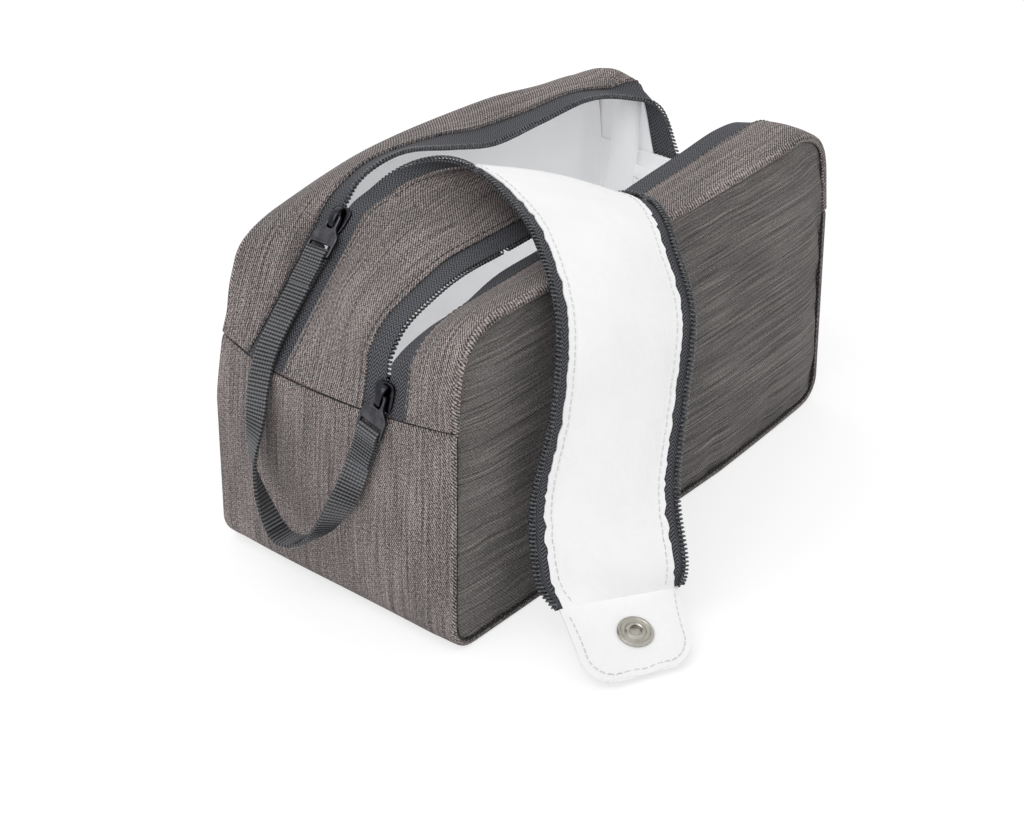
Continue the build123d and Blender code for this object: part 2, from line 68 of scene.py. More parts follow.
class Thread(Enum):
    """Which way a cloth's long slubs run in its own UV map."""

    ALONG = "along"
    ACROSS = "across"


class Body(Enum):
    """The bodies that pieces ride on."""

    BAG = "bag"
    FLAP = "flap"
    TAB = "tab"
    REAR_SLIDER = "rear_slider"
    FRONT_SLIDER = "front_slider"
    REAR_PULL = "rear_pull"
    FRONT_PULL = "front_pull"


# Sizes that the bag's pieces share with the CAD model, in millimetres.
HALF = 125.0
HALF_DEPTH = 61.2
HEIGHT = 131.0
SEAM = 93.0
CORNER = 12.0
SKIN = 1.15
UNDER = 0.85
LAYER = 0.1
TAPE_WIDTH = 10.0
COIL_OFFSET = 1.55
CLOTH_MARGIN = TAPE_WIDTH - COIL_OFFSET
PANEL_Y = 60.2
CREASE_HEIGHT = 15.0

# The layers of cloth, as their under and outer faces on a grid.
OUTER = (0.35, SKIN)
INNER = (-UNDER, -0.35)
THIN = (-0.25, 0.25)
SEAM_SHADOW_STITCH = (2.4, 2.3)  # from one stitch to the next, and the thread that shows: so nearly unbroken that the black thread paints the shadow line in the seam's crevice


def left(inset: float) -> float:
    """X at a distance inside the left end."""
    return -HALF + SKIN + inset


def right(inset: float) -> float:
    """X at a distance inside the right end."""
    return HALF - SKIN - inset


def top(rise: float) -> float:
    """Z at a distance over the bag's top."""
    return HEIGHT + rise


def seam(rise: float) -> float:
    """Z at a distance over the end seam."""
    return SEAM + rise


def drop(share: float) -> float:
    """Z at a share of the way from the crease up to the bag's top."""
    return CREASE_HEIGHT + (HEIGHT - CREASE_HEIGHT) * share


def beyond(distance: float) -> float:
    """Y at a distance in front of the front panel."""
    return -HALF_DEPTH - distance


def level(y: float, points: Sequence[tuple[float, float]]) -> list[Point]:
    """Points at one Y."""
    return [(x, y, z) for x, z in points]


def run(end: tuple[float, float], y: float, shares: Sequence[float]) -> list[Point]:
    """Points on a zip's straight run, which starts at the left end seam."""
    x, z = left(0), seam(0)
    return [(x + (end[0] - x) * s, y, z + (end[1] - z) * s) for s in shares]


REAR_ZIP_Y = 33.0
FRONT_ZIP_Y = -28.5
REAR_TAPE_Y = REAR_ZIP_Y + TAPE_WIDTH
FRONT_TAPE_Y = FRONT_ZIP_Y - TAPE_WIDTH
REAR_COIL_Y = REAR_ZIP_Y + COIL_OFFSET
FRONT_COIL_Y = FRONT_ZIP_Y - COIL_OFFSET
REAR_FLAP_Y = REAR_ZIP_Y - COIL_OFFSET
FRONT_FLAP_Y = FRONT_ZIP_Y + COIL_OFFSET
REAR_RUN_TOP = (left(48.5), top(8.0))
FRONT_RUN_TOP = (left(3.8), seam(21.0))
REAR_SHARES = (0.0, 0.2, 0.4, 0.6, 0.8, 1.0)
FRONT_SHARES = (0.0, 0.75, 1.0)

REAR_PANEL_RAIL = level(PANEL_Y, [
    (left(0), seam(0)), (left(1.5), seam(9)), (left(4), seam(19)), (left(9), top(-10)),
    (left(17), top(-3.5)), (left(30), top(1)), (left(48), top(4)), (left(66), top(6.5)),
    (left(88), top(8.5)), (left(114), top(8.5)), (right(104), top(7)), (right(74), top(4.5)),
    (right(44), top(-0.5)), (right(20), top(-3.5)), (right(4.5), top(-9)), (right(0), seam(0)),
])
REAR_EDGE_RAIL = run(REAR_RUN_TOP, REAR_TAPE_Y, REAR_SHARES) + level(REAR_TAPE_Y, [
    (left(61), top(13)), (left(73), top(15.5)), (left(91), top(15)), (left(116), top(11.5)),
    (right(106), top(6)), (right(76), top(3)), (right(44), top(1)),
]) + [
    (right(18), REAR_TAPE_Y - 1, top(-5)),
    (right(3), REAR_TAPE_Y - 7, top(-7)),
    (right(0), REAR_TAPE_Y - 14, seam(0)),
]
REAR_COIL_RAIL = run(REAR_RUN_TOP, REAR_COIL_Y, REAR_SHARES) + [
    (left(58), REAR_COIL_Y, top(15.5)),
    *level(REAR_ZIP_Y, [
        (left(71), top(19.5)), (left(88), top(18)), (left(114), top(10)), (right(108), top(3)),
        (right(78), top(2)), (right(44), top(1)),
    ]),
    (right(18), REAR_ZIP_Y - 2, top(-6.5)),
    (right(3), REAR_ZIP_Y - 8.5, top(-15)),
    (right(0), REAR_ZIP_Y - 17, seam(0)),
]
FRONT_PANEL_RAIL = level(-PANEL_Y, [
    (left(0), seam(0)), (left(0.5), seam(11)), (left(3), top(-14)), (left(10), top(-4)),
    (left(22), top(0.5)), (left(38), top(1)), (left(64), top(0.5)), (left(94), top(0)),
    (left(124), top(0)), (right(94), top(0)), (right(64), top(0.5)), (right(38), top(1)),
    (right(19), top(1.5)), (right(4.5), top(-9.5)), (right(0), seam(0)),
])
FRONT_EDGE_RAIL = run(FRONT_RUN_TOP, FRONT_TAPE_Y, FRONT_SHARES) + level(FRONT_TAPE_Y, [
    (left(12), top(-10.5)), (left(24), top(-7.5)), (left(40), top(-6.5)), (left(64), top(-6)),
    (left(94), top(-5)), (left(124), top(-3)), (right(94), top(-1.5)), (right(66), top(0.5)),
    (right(38), top(2.5)), (right(18), top(1)), (right(4), top(-12)), (right(0), seam(0)),
])
FRONT_COIL_RAIL = run(FRONT_RUN_TOP, FRONT_COIL_Y, FRONT_SHARES[:2]) + [
    (left(2.6), FRONT_COIL_Y - 0.4, seam(19.0)),
    (left(10), FRONT_COIL_Y - 1.0, top(-15)),
    (left(22), FRONT_COIL_Y - 2.0, top(-12)),
    (left(40), FRONT_COIL_Y - 2.0, top(-11)),
    *level(FRONT_COIL_Y, [
        (left(64), top(-8)), (left(94), top(-7)), (left(124), top(-4)), (right(94), top(-1.5)),
        (right(66), top(0.5)), (right(38), top(2.5)), (right(18), top(-1.5)),
        (right(4.5), top(-17)), (right(0), seam(0)),
    ]),
]
FLAP_REAR_RAIL = run(REAR_RUN_TOP, REAR_FLAP_Y, REAR_SHARES) + [
    (left(60), REAR_ZIP_Y - 2.0, top(11.5)), (left(70), REAR_ZIP_Y - 5.0, top(16)),
    (left(77), REAR_ZIP_Y - 14, top(20.5)), (left(80), REAR_ZIP_Y - 26, top(23.5)),
    (left(79), REAR_ZIP_Y - 40, top(23.5)), (left(73.5), beyond(-35), top(20)),
    (left(63), beyond(-13.5), top(14.5)), (left(46), beyond(11), drop(0.966)),
    (left(35), beyond(18), drop(0.68)), (left(27), beyond(15.3), drop(0.354)),
    (left(24.5), beyond(21), drop(0.095)), (left(25), beyond(29.8), drop(0.0)),
]
FLAP_FRONT_RAIL = run(FRONT_RUN_TOP, FRONT_FLAP_Y, FRONT_SHARES) + level(FRONT_FLAP_Y, [
    (left(11.5), top(-8.5)), (left(26), top(-3.5)), (left(46), top(0)), (left(72), top(0)),
    (left(102), top(0)),
]) + [
    (left(121), FRONT_ZIP_Y - 0.5, top(1)), (left(132), FRONT_ZIP_Y - 9.5, top(3)),
    (left(130), beyond(-10), top(5.5)), (left(123), beyond(3), top(5.5)),
    (left(113), beyond(16), top(-0.5)), (left(100.5), beyond(34), drop(0.836)),
    (left(87.5), beyond(41), drop(0.589)), (left(73.8), beyond(48), drop(0.324)),
    (left(68.5), beyond(56.8), drop(0.095)), (left(67.5), beyond(55.3), drop(-0.01)),
]
ARCH_START = 6.0
ARCH_END = 10.0


# Curves, grids and meshes


def curve_at(points: Rail, stations: Array) -> Array:
    """Points of a smooth curve through a rail.

    Args:
        points: the rail's points in millimetres.
        stations: places on it, where 2.5 is midway between the third and fourth points.

    Returns:
        One point a row.
    """
    p = np.array(points, float)
    last = len(p) - 1
    ends = np.vstack([2 * p[0] - p[1], p, 2 * p[-1] - p[-2]])
    i = np.clip(np.floor(stations).astype(int), 0, last - 1)
    t = (stations - i)[:, None]
    a, b, c, d = ends[i], ends[i + 1], ends[i + 2], ends[i + 3]
    cubic = 3 * b - a - 3 * c + d
    return 0.5 * (2 * b + (c - a) * t + (2 * a - 5 * b + 4 * c - d) * t**2 + cubic * t**3)


def spread(rails: Sequence[Rail], first: float, last: float, spacing: float) -> Array:
    """Stations that lie evenly along rails.

    Args:
        rails: rails whose points match one to one.
        first: the first station.
        last: the last station.
        spacing: millimetres from one station to the next.

    Returns:
        The stations.
    """
    fine = np.linspace(first, last, 40 * int(last - first + 1))
    middle = sum(curve_at(rail, fine) for rail in rails) / len(rails)
    gone = distances(middle, 0)
    count = max(2, int(round(gone[-1] / spacing)) + 1)
    return np.interp(np.linspace(0, gone[-1], count), gone, fine)


def unit(v: Array) -> Array:
    """Vectors made one long along the last axis."""
    return v / np.maximum(np.linalg.norm(v, axis=-1, keepdims=True), 1e-9)


def distances(points: Array, axis: int) -> Array:
    """Millimetres gone along a grid's axis, from its first row or column."""
    steps = np.linalg.norm(np.diff(points, axis=axis), axis=-1)
    gone = np.cumsum(steps, axis=axis)
    return np.concatenate([np.zeros_like(gone.take([0], axis)), gone], axis=axis)


def sample(values: Array, gone: Array, places: Array) -> Array:
    """Values along a line, one a row, read at some distances from its start."""
    return np.stack([np.interp(places, gone, column) for column in values.T], axis=-1)


def outward(points: Array) -> Array:
    """Normals of a grid, by the right-hand rule from its columns to its rows."""
    return unit(np.cross(np.gradient(points, axis=1), np.gradient(points, axis=0)))


def facing(normals: Array, towards: Array) -> Array:
    """Normals, each turned over where it points away from a direction."""
    return normals * np.sign((normals * towards).sum(-1, keepdims=True))


def eased(t: Array) -> Array:
    """0 to 1 with a soft start and end."""
    t = np.clip(t, 0, 1)
    return t**2 * (3 - 2 * t)


def hump(away: Array, width: float) -> Array:
    """1 at a place, and soon 0 away from it."""
    return np.exp(-((away / width) ** 2))


def ripples(seed: int, x: Array, length: float) -> Array:
    """Smooth seeded waves of about one wavelength, between -1 and 1."""
    draw = np.random.default_rng(seed)
    waves = [
        np.sin(2 * math.pi * (x / (length * draw.uniform(0.6, 1.7)) + draw.uniform()))
        for _ in range(4)
    ]
    return sum(waves) / 2.6


@dataclass(frozen=True)
class SoftEnd:
    """How the soft left end rests, in millimetres.

    The end bulges and its seam sags between the zips, its rear corner is drawn in, and the base
    splays towards the front left corner.
    """

    bulge: float = 3.4
    sag: float = 3.6
    drawn_in: float = 7.0
    splay_left: float = 7.2
    splay_front: float = 4.8

    def rest(self, points: Array) -> Array:
        """Points of the bag, one a row, where the soft cloth lets them rest."""
        x, y, z = points.T
        near = eased((-90 - x) / 30)
        wide = np.clip(1 - (y / 60.5) ** 2, 0, 1)
        high = np.sin(math.pi * np.clip(z / 134, 0, 1)) ** 0.9
        corner = np.clip((-80 - x) / 42, 0, 1) * np.clip((y - 18) / 42, 0, 1) ** 2
        corner *= np.clip((z - 66) / 34, 0, 1) ** 1.2 * np.clip((142 - z) / 24, 0, 1)
        low = eased((98 - z) / 98)
        forward = np.clip((61 - y) / 110, 0, 1) ** 1.2
        leftward = np.clip((114 - x) / 70, 0, 1) ** 0.8
        at_panel = np.clip((-20 - y) / 35, 0, 1) * np.clip((y + 72) / 5, 0, 1)
        out = self.bulge * wide * high + self.splay_left * low * forward
        moved = points.copy()
        moved[:, 0] += self.drawn_in * corner - near * out
        moved[:, 1] -= self.splay_front * low * leftward * at_panel
        moved[:, 2] -= self.sag * near * wide * hump(z - 90, 26)
        return moved


SOFT_END = SoftEnd()


def mesh_object(
    name: str,
    points: Array,
    faces: Faces,
    uv: Array | None = None,
    sharp: float = 50.0,
    soft: bool = True,
) -> Thing:
    """An object in the scene from points in millimetres.

    Args:
        name: the piece's name.
        points: one vertex a row.
        faces: vertex numbers of each face.
        uv: metres in the piece's UV map, one row a vertex.
        sharp: edges with a larger angle, in degrees, stay sharp.
        soft: True for a piece that rests as the soft end does.

    Returns:
        The object.
    """
    if soft:
        points = SOFT_END.rest(np.asarray(points, float))
    mesh = bpy.data.meshes.new(name)
    mesh.from_pydata((np.asarray(points) * MM).tolist(), [], faces)
    mesh.validate()
    if uv is not None:
        layer = mesh.uv_layers.new(name="cloth")
        corners = np.zeros(len(mesh.loops), dtype=np.int64)
        mesh.loops.foreach_get("vertex_index", corners)
        layer.data.foreach_set("uv", uv[corners].astype(np.float32).ravel())
    mesh.polygons.foreach_set("use_smooth", [True] * len(mesh.polygons))
    mesh.set_sharp_from_angle(angle=math.radians(sharp))
    mesh.update()
    thing = bpy.data.objects.new(name, mesh)
    bpy.context.scene.collection.objects.link(thing)
    return thing


def mesh_of(curve: bpy.types.Curve) -> tuple[Array, Faces]:
    """The points and faces that Blender makes of a curve. The curve itself is removed."""
    holder = bpy.data.objects.new(curve.name, curve)
    bpy.context.scene.collection.objects.link(holder)
    bpy.context.view_layer.update()
    ready = holder.evaluated_get(bpy.context.evaluated_depsgraph_get())
    mesh = bpy.data.meshes.new_from_object(ready)
    points = np.array([v.co[:] for v in mesh.vertices])
    faces = [tuple(f.vertices) for f in mesh.polygons]
    bpy.data.objects.remove(holder)
    bpy.data.curves.remove(curve)
    bpy.data.meshes.remove(mesh)
    return points, faces


def weld(thing: Thing) -> Thing:
    """Joins points that fall together and turns all faces outwards."""
    bm = bmesh.new()
    bm.from_mesh(thing.data)
    bmesh.ops.remove_doubles(bm, verts=bm.verts, dist=0.02 * MM)
    bmesh.ops.recalc_face_normals(bm, faces=bm.faces)
    bm.to_mesh(thing.data)
    bm.free()
    thing.data.update()
    return thing


def grid_faces(rows: int, columns: int, start: int = 0, flip: bool = False) -> Faces:
    """The quads of a grid of vertices.

    Args:
        rows: rows of vertices.
        columns: vertices in a row.
        start: number of the grid's first vertex.
        flip: True turns the faces over.

    Returns:
        The faces.
    """
    faces = []
    for i in range(rows - 1):
        for j in range(columns - 1):
            a = start + i * columns + j
            quad = (a, a + 1, a + columns + 1, a + columns)
            faces.append(quad[::-1] if flip else quad)
    return faces


def rim_of(rows: int, columns: int) -> list[int]:
    """The numbers of a grid's outer vertices, once round."""
    rim = list(range(columns)) + [i * columns + columns - 1 for i in range(1, rows)]
    rim += [(rows - 1) * columns + j for j in range(columns - 2, -1, -1)]
    return rim + [i * columns for i in range(rows - 2, 0, -1)]


def layer_faces(rows: int, columns: int, flip: bool = False) -> Faces:
    """The faces of two grids, one after the other, and of the edge between them."""
    count = rows * columns
    faces = grid_faces(rows, columns, 0, flip) + grid_faces(rows, columns, count, not flip)
    rim = rim_of(rows, columns)
    for a, b in zip(rim, rim[1:] + rim[:1]):
        quad = (b, a, a + count, b + count)
        faces.append(quad[::-1] if flip else quad)
    return faces


def bar_faces(rings: int, sides: int, start: int = 0) -> Faces:
    """The faces of a bar of rings of vertices, with both its ends."""
    faces = []
    for i in range(rings - 1):
        for j in range(sides):
            a, b = start + i * sides + j, start + i * sides + (j + 1) % sides
            faces.append((a, b, b + sides, a + sides))
    faces.append(tuple(start + j for j in range(sides))[::-1])
    faces.append(tuple(start + (rings - 1) * sides + j for j in range(sides)))
    return faces


def rolled(
    grid: Array,
    normals: Array,
    at_start: bool,
    face: float,
    radius: float = 1.2,
    reach: float = 1.0,
    tuck: float = 0.75,
) -> tuple[Array, Array]:
    """A grid whose edge rolls over the corner onto a side panel.

    Args:
        grid: the cloth's grid.
        normals: its normals.
        at_start: True for its first column, False for its last.
        face: sign of Y on that side.
        radius: of the roll, in millimetres.
        reach: how far it goes on along the panel.
        tuck: how far its end sinks into the seam.

    Returns:
        The wider grid and its normals.
    """
    column = 0 if at_start else -1
    edge, up = grid[:, column], normals[:, column]
    out = np.zeros_like(edge)
    out[:, 1] = face
    up = unit(up - out * (up * out).sum(-1, keepdims=True))
    steps, lifts = [], []
    for angle in np.radians([30.0, 60.0, 90.0]):
        steps.append(edge + out * radius * math.sin(angle) - up * radius * (1 - math.cos(angle)))
        lifts.append(up * math.cos(angle) + out * math.sin(angle))
    steps.append(steps[-1] - up * reach - out * tuck)
    lifts.append(out)
    if at_start:
        steps, lifts = steps[::-1], lifts[::-1]
    extra, turned = np.stack(steps, axis=1), np.stack(lifts, axis=1)
    pieces = [extra, grid] if at_start else [grid, extra]
    ways = [turned, normals] if at_start else [normals, turned]
    return np.concatenate(pieces, axis=1), np.concatenate(ways, axis=1)


def shell(
    name: str,
    middle: Array,
    normals: Array,
    low: float,
    high: float,
    uv: Array | None = None,
    soft: bool = True,
) -> Thing:
    """A closed layer of cloth on a grid.

    Args:
        name: the piece's name.
        middle: the grid, rows by columns by three, in millimetres.
        normals: its normals.
        low: the layer's under face along the normals.
        high: its outer face.
        uv: metres across and along, or None for the grid's own distances.
        soft: True for a piece that rests as the soft end does.

    Returns:
        The object.
    """
    if uv is None:
        uv = np.stack([distances(middle, 1), distances(middle, 0)], axis=-1) * MM
    points = np.vstack([(middle + normals * face).reshape(-1, 3) for face in (high, low)])
    flat = uv.reshape(-1, 2)
    faces = layer_faces(*middle.shape[:2])
    return mesh_object(name, points, faces, np.vstack([flat, flat]), soft=soft)


def tube(path: Array, radius: float, sides: int, start: int = 0) -> tuple[Array, Faces]:
    """A closed tube round a path.

    Args:
        path: the path's points in millimetres.
        radius: the tube's radius.
        sides: vertices in a ring.
        start: number of its first vertex.

    Returns:
        Its vertices and faces.
    """
    along = unit(np.gradient(path, axis=0))
    aslant = np.array([0.123, 0.456, 0.881])  # a direction that no path here follows
    across = unit(np.cross(along, aslant))
    up = np.cross(across, along)
    turn = np.linspace(0, 2 * math.pi, sides, endpoint=False)
    ring = across[:, None] * np.cos(turn)[:, None] + up[:, None] * np.sin(turn)[:, None]
    points = (path[:, None] + ring * radius).reshape(-1, 3)
    return points, bar_faces(len(path), sides, start)


# Materials


def linear(code: str) -> tuple[float, float, float, float]:
    """A linear colour from an sRGB hex value."""
    parts = [int(code[i : i + 2], 16) / 255 for i in (1, 3, 5)]
    curve = [p / 12.92 if p <= 0.04045 else ((p + 0.055) / 1.055) ** 2.4 for p in parts]
    return (*curve, 1.0)


def feed(tree: bpy.types.NodeTree, socket: bpy.types.NodeSocket, value: Any) -> None:
    """Links a pattern or a socket to an input, or puts a constant on it."""
    if isinstance(value, Pattern):
        value = value.socket
    if isinstance(value, bpy.types.NodeSocket):
        tree.links.new(value, socket)
    else:
        socket.default_value = value


def add(
    tree: bpy.types.NodeTree, kind: str, settings: dict[Any, Any] | None = None, **links: Any
) -> bpy.types.Node:
    """Adds a node with its settings and links.

    Args:
        tree: the material's node tree.
        kind: the node's type.
        settings: attributes by name, and what goes into inputs by input name or number.
        links: what goes into inputs by input name.

    Returns:
        The node.
    """
    node = tree.nodes.new(kind)
    for name, value in {**(settings or {}), **links}.items():
        if isinstance(name, int) or name in node.inputs:
            feed(tree, node.inputs[name], value)
        else:
            setattr(node, name, value)
    return node


@dataclass(frozen=True)
class Pattern:
    """A value in a node tree. Patterns and numbers add, subtract and multiply."""

    tree: bpy.types.NodeTree
    socket: bpy.types.NodeSocket

    def maths(self, kind: str, a: Any, b: Any) -> "Pattern":
        """The result of a calculation on patterns or numbers."""
        node = add(self.tree, "ShaderNodeMath", {"operation": kind, 0: a, 1: b})
        return Pattern(self.tree, node.outputs[0])

    def __add__(self, other: Any) -> "Pattern":
        """The sum."""
        return self.maths("ADD", self, other)

    def __mul__(self, other: Any) -> "Pattern":
        """The product."""
        return self.maths("MULTIPLY", self, other)

    def __sub__(self, other: Any) -> "Pattern":
        """The difference."""
        return self.maths("SUBTRACT", self, other)

    def __rsub__(self, other: Any) -> "Pattern":
        """The difference from a number."""
        return self.maths("SUBTRACT", other, self)

    def zigzag(self) -> "Pattern":
        """Up from 0 to 1 and down again in each unit."""
        return self.maths("PINGPONG", self, 0.5) * 2.0


@dataclass
class Recipe:
    """A material under way: its node tree, its Principled shader and what feeds it."""

    name: str
    material: Material = field(init=False)
    tree: bpy.types.NodeTree = field(init=False)
    shader: bpy.types.Node = field(init=False)

    def __post_init__(self) -> None:
        """Makes the material."""
        self.material = bpy.data.materials.new(self.name)
        self.material.use_nodes = True
        self.tree = self.material.node_tree
        self.shader = self.tree.nodes["Principled BSDF"]

    def cells(self, across: float, along: float) -> bpy.types.NodeSocket:
        """The cloth UV map counted in cells of some millimetres across and along."""
        uv = add(self.tree, "ShaderNodeUVMap", {"uv_map": "cloth"}).outputs["UV"]
        scale = (1 / (across * MM), 1 / (along * MM), 1)
        return add(self.tree, "ShaderNodeMapping", {"Scale": scale}, Vector=uv).outputs["Vector"]

    def axes(self, vector: bpy.types.NodeSocket) -> tuple[Pattern, Pattern]:
        """A vector's X and Y."""
        node = add(self.tree, "ShaderNodeSeparateXYZ", Vector=vector)
        return Pattern(self.tree, node.outputs["X"]), Pattern(self.tree, node.outputs["Y"])

    def noise(
        self, vector: bpy.types.NodeSocket, detail: float = 2.0, rough: float = 0.5
    ) -> Pattern:
        """A noise on the cloth with cells one unit wide."""
        settings = {"noise_dimensions": "2D", "Scale": 1.0, "Detail": detail, "Roughness": rough}
        node = add(self.tree, "ShaderNodeTexNoise", settings, Vector=vector)
        return Pattern(self.tree, node.outputs["Fac"])

    def grain(self, size: float, detail: float = 2.0, stretch: Point = (1, 1, 1)) -> Pattern:
        """A noise through a solid.

        Args:
            size: of its cells, in millimetres.
            detail: how many finer layers it has.
            stretch: how much closer the cells lie along X, Y and Z.

        Returns:
            The noise.
        """
        where = add(self.tree, "ShaderNodeTexCoord").outputs["Object"]
        if stretch != (1, 1, 1):
            mapping = {"Scale": stretch, "Vector": where}
            where = add(self.tree, "ShaderNodeMapping", mapping).outputs["Vector"]
        settings = {"Scale": 1 / (size * MM), "Detail": detail, "Vector": where}
        return Pattern(self.tree, add(self.tree, "ShaderNodeTexNoise", settings).outputs["Fac"])

    def ramp(self, factor: Pattern, *stops: tuple[float, str]) -> bpy.types.NodeSocket:
        """The colour of a ramp between hex colours."""
        node = add(self.tree, "ShaderNodeValToRGB", Fac=factor)
        band = node.color_ramp.elements
        while len(band) < len(stops):
            band.new(0.5)
        for element, (place, code) in zip(band, stops):
            element.position = place
            element.color = linear(code)
        return node.outputs["Color"]

    def bump(self, height: Pattern, depth: float) -> bpy.types.NodeSocket:
        """The normals of a height map of some millimetres."""
        settings = {"Strength": 1.0, "Distance": depth * MM, "Height": height}
        return add(self.tree, "ShaderNodeBump", settings).outputs["Normal"]

    def done(self, colour: Any, **inputs: Any) -> Material:
        """Feeds the shader.

        Args:
            colour: the base colour.
            inputs: what goes into its other inputs, with spaces as underscores.

        Returns:
            The material.
        """
        for name, value in {"Base_Color": colour, **inputs}.items():
            feed(self.tree, self.shader.inputs[name.replace("_", " ")], value)
        return self.material


@dataclass(frozen=True)
class HeatherTwill:
    """Two-tone heather polyester, twill woven with slub yarns and brushed.

    Beige and charcoal yarns of uneven thickness give the eye short streaks along one direction,
    a fine grain across them and a dry surface without gloss.
    """

    name: str
    thread: Thread = Thread.ALONG
    dark: str = "#2b2a2b"
    middle: str = "#6a6564"
    pale: str = "#8b8281"
    light: str = "#c4b9b8"
    yarn: float = 0.95  # drawn coarser than the real 0.4 mm, which is a pixel
    slub: float = 24.0
    streaks: float = 0.3
    grain: float = 0.9
    wale: float = 1.15  # from one diagonal to the next, drawn coarser than the real 0.5 mm
    diagonals: float = 1.5

    def make(self) -> Material:
        """The material."""
        paint = Recipe(self.name)

        def cells(wide: float, long: float) -> bpy.types.NodeSocket:
            return paint.cells(*((wide, long) if self.thread is Thread.ALONG else (long, wide)))

        def part(pattern: Pattern, weight: float) -> Pattern:
            return (pattern - 0.5) * weight

        u, v = paint.axes(cells(self.yarn, self.yarn))
        over, under = u.zigzag(), (v + u * 0.5).zigzag()
        weave = over * under + (1.0 - over) * (1.0 - under)
        warp = paint.noise(cells(self.yarn * 0.7, self.slub), 2.0, 0.55)
        weft = paint.noise(cells(self.slub * 0.2, self.yarn * 0.7), 2.0, 0.55)
        speckle = paint.noise(cells(self.yarn * 0.6, self.yarn), 1.0)
        u, v = paint.axes(paint.cells(self.wale, self.wale * 1.3))
        twill = (u + v + weft * 0.5).zigzag()
        slubs = paint.noise(cells(self.yarn * 1.4, self.slub * 2.4), 1.5)
        cloud = paint.noise(cells(24.0, 38.0))
        tone = part(weave, 0.5 * self.grain) + part(warp, 1.3 * self.streaks)
        tone += part(weft, 0.3 * self.grain)
        tone += part(twill, 0.42 * self.diagonals)
        tone += part(speckle, 1.1 * self.grain)
        tone += part(slubs, 1.2 * self.streaks)
        stops = ((0.14, self.dark), (0.45, self.middle), (0.62, self.pale), (0.88, self.light))
        mix: dict[Any, Any] = {"data_type": "RGBA", "blend_type": "MULTIPLY", 0: 1.0}
        mix[6] = paint.ramp(tone + 0.5, *stops)
        mix[7] = paint.ramp(cloud, (0.3, "#e6e6e4"), (0.7, "#fffdfc"))
        return paint.done(
            add(paint.tree, "ShaderNodeMix", mix).outputs[2],
            Roughness=0.9,
            Sheen_Weight=0.06,
            Sheen_Roughness=0.5,
            Specular_IOR_Level=0.2,
            Normal=paint.bump(twill + (warp + speckle), 0.16),
        )


@dataclass(frozen=True)
class LiningTaffeta:
    """Polyester taffeta, plain woven and calendered.

    A pale smooth cloth: the weave is just a faint grain, and small soft creases catch the light.
    """

    name: str
    colour: str
    shade: str
    thread: float = 0.5  # the real 0.15 mm is too fine to show
    crease: float = 0.5
    glow: float = 0.0  # painted glow: light that the lining emits of itself, though it is no lamp

    def make(self) -> Material:
        """The material."""
        paint = Recipe(self.name)
        across = paint.noise(paint.cells(self.thread, 5.0), 1.0)
        grain = (across + paint.noise(paint.cells(5.0, self.thread), 1.0)) * 0.5
        soft = paint.noise(paint.cells(16.0, 22.0), 3.0, 0.55)
        tone = grain * 0.5 + soft * 0.5
        return paint.done(
            paint.ramp(tone, (0.3, self.shade), (0.62, self.colour)),
            Roughness=0.62,
            # painted glow: the lining emits light of its own colour, though it is no lamp
            Emission_Color=linear(self.colour),
            Emission_Strength=self.glow,
            Sheen_Weight=0.08,
            Specular_IOR_Level=0.35,
            Normal=paint.bump(soft * self.crease + grain * 0.06, 1.0),
        )


@dataclass(frozen=True)
class ZipTape:
    """Polyester zip tape, woven in herringbone.

    Narrow columns of opposite diagonals run along it, dark slate with a faint lighter thread.
    """

    name: str
    dark: str = "#1d1e20"
    light: str = "#65666c"
    column: float = 3.4
    rib: float = 1.5

    def make(self) -> Material:
        """The material."""
        paint = Recipe(self.name)
        u, v = paint.axes(paint.cells(self.column, self.rib))
        rib = (v + u.zigzag() * 1.5).zigzag()
        tone = rib * 0.7 + paint.noise(paint.cells(0.7, 0.7)) * 0.3
        return paint.done(
            paint.ramp(tone, (0.3, self.dark), (0.78, self.light)),
            Roughness=0.8,
            Sheen_Weight=0.03,
            Specular_IOR_Level=0.3,
            Normal=paint.bump(rib, 0.12),
        )


@dataclass(frozen=True)
class RibbedWebbing:
    """Polypropylene webbing, woven with a rib across it for each weft.

    Charcoal, matt, with crosswise ribs and a fine thread grain along it.
    """

    name: str
    dark: str = "#101012"
    light: str = "#808185"
    thread: float = 1.25
    rib: float = 1.5

    def make(self) -> Material:
        """The material."""
        paint = Recipe(self.name)
        u, v = paint.axes(paint.cells(self.thread, self.rib))
        rib, thread = v.zigzag(), u.zigzag()
        fuzz = paint.noise(paint.cells(0.5, 1.4))
        tone = rib * (thread * 0.55 + 0.45) * 0.8 + fuzz * 0.3
        return paint.done(
            paint.ramp(tone, (0.22, self.dark), (0.72, self.light)),
            Roughness=0.82,
            Sheen_Weight=0.1,
            Specular_IOR_Level=0.3,
            Normal=paint.bump(rib + thread * 0.3, 0.5),
        )


@dataclass(frozen=True)
class Nylon:
    """Nylon monofilament or sewing thread, extruded and dyed. Smooth, with a soft highlight."""

    name: str
    colour: str
    shade: str
    roughness: float
    grain: float = 1.0

    def make(self) -> Material:
        """The material."""
        paint = Recipe(self.name)
        colour = paint.ramp(paint.grain(self.grain), (0.35, self.shade), (0.65, self.colour))
        return paint.done(colour, Roughness=self.roughness, IOR=1.53)


@dataclass(frozen=True)
class PlatedMetal:
    """Die-cast or pressed metal, barrel plated. Clouded a little, with lighter rubbed patches at
    random.
    """

    name: str
    colour: str
    worn: str
    roughness: float
    grain: float = 0.6
    relief: float = 0.02

    def make(self) -> Material:
        """The material."""
        paint = Recipe(self.name)
        fine = paint.grain(self.grain, 4.0)
        tone = fine * 0.35 + paint.grain(6 * self.grain) * 0.65
        return paint.done(
            paint.ramp(tone, (0.4, self.colour), (0.68, self.worn)),
            Metallic=1.0,
            Roughness=tone * 0.16 + (self.roughness - 0.08),
            Normal=paint.bump(fine, self.relief),
        )


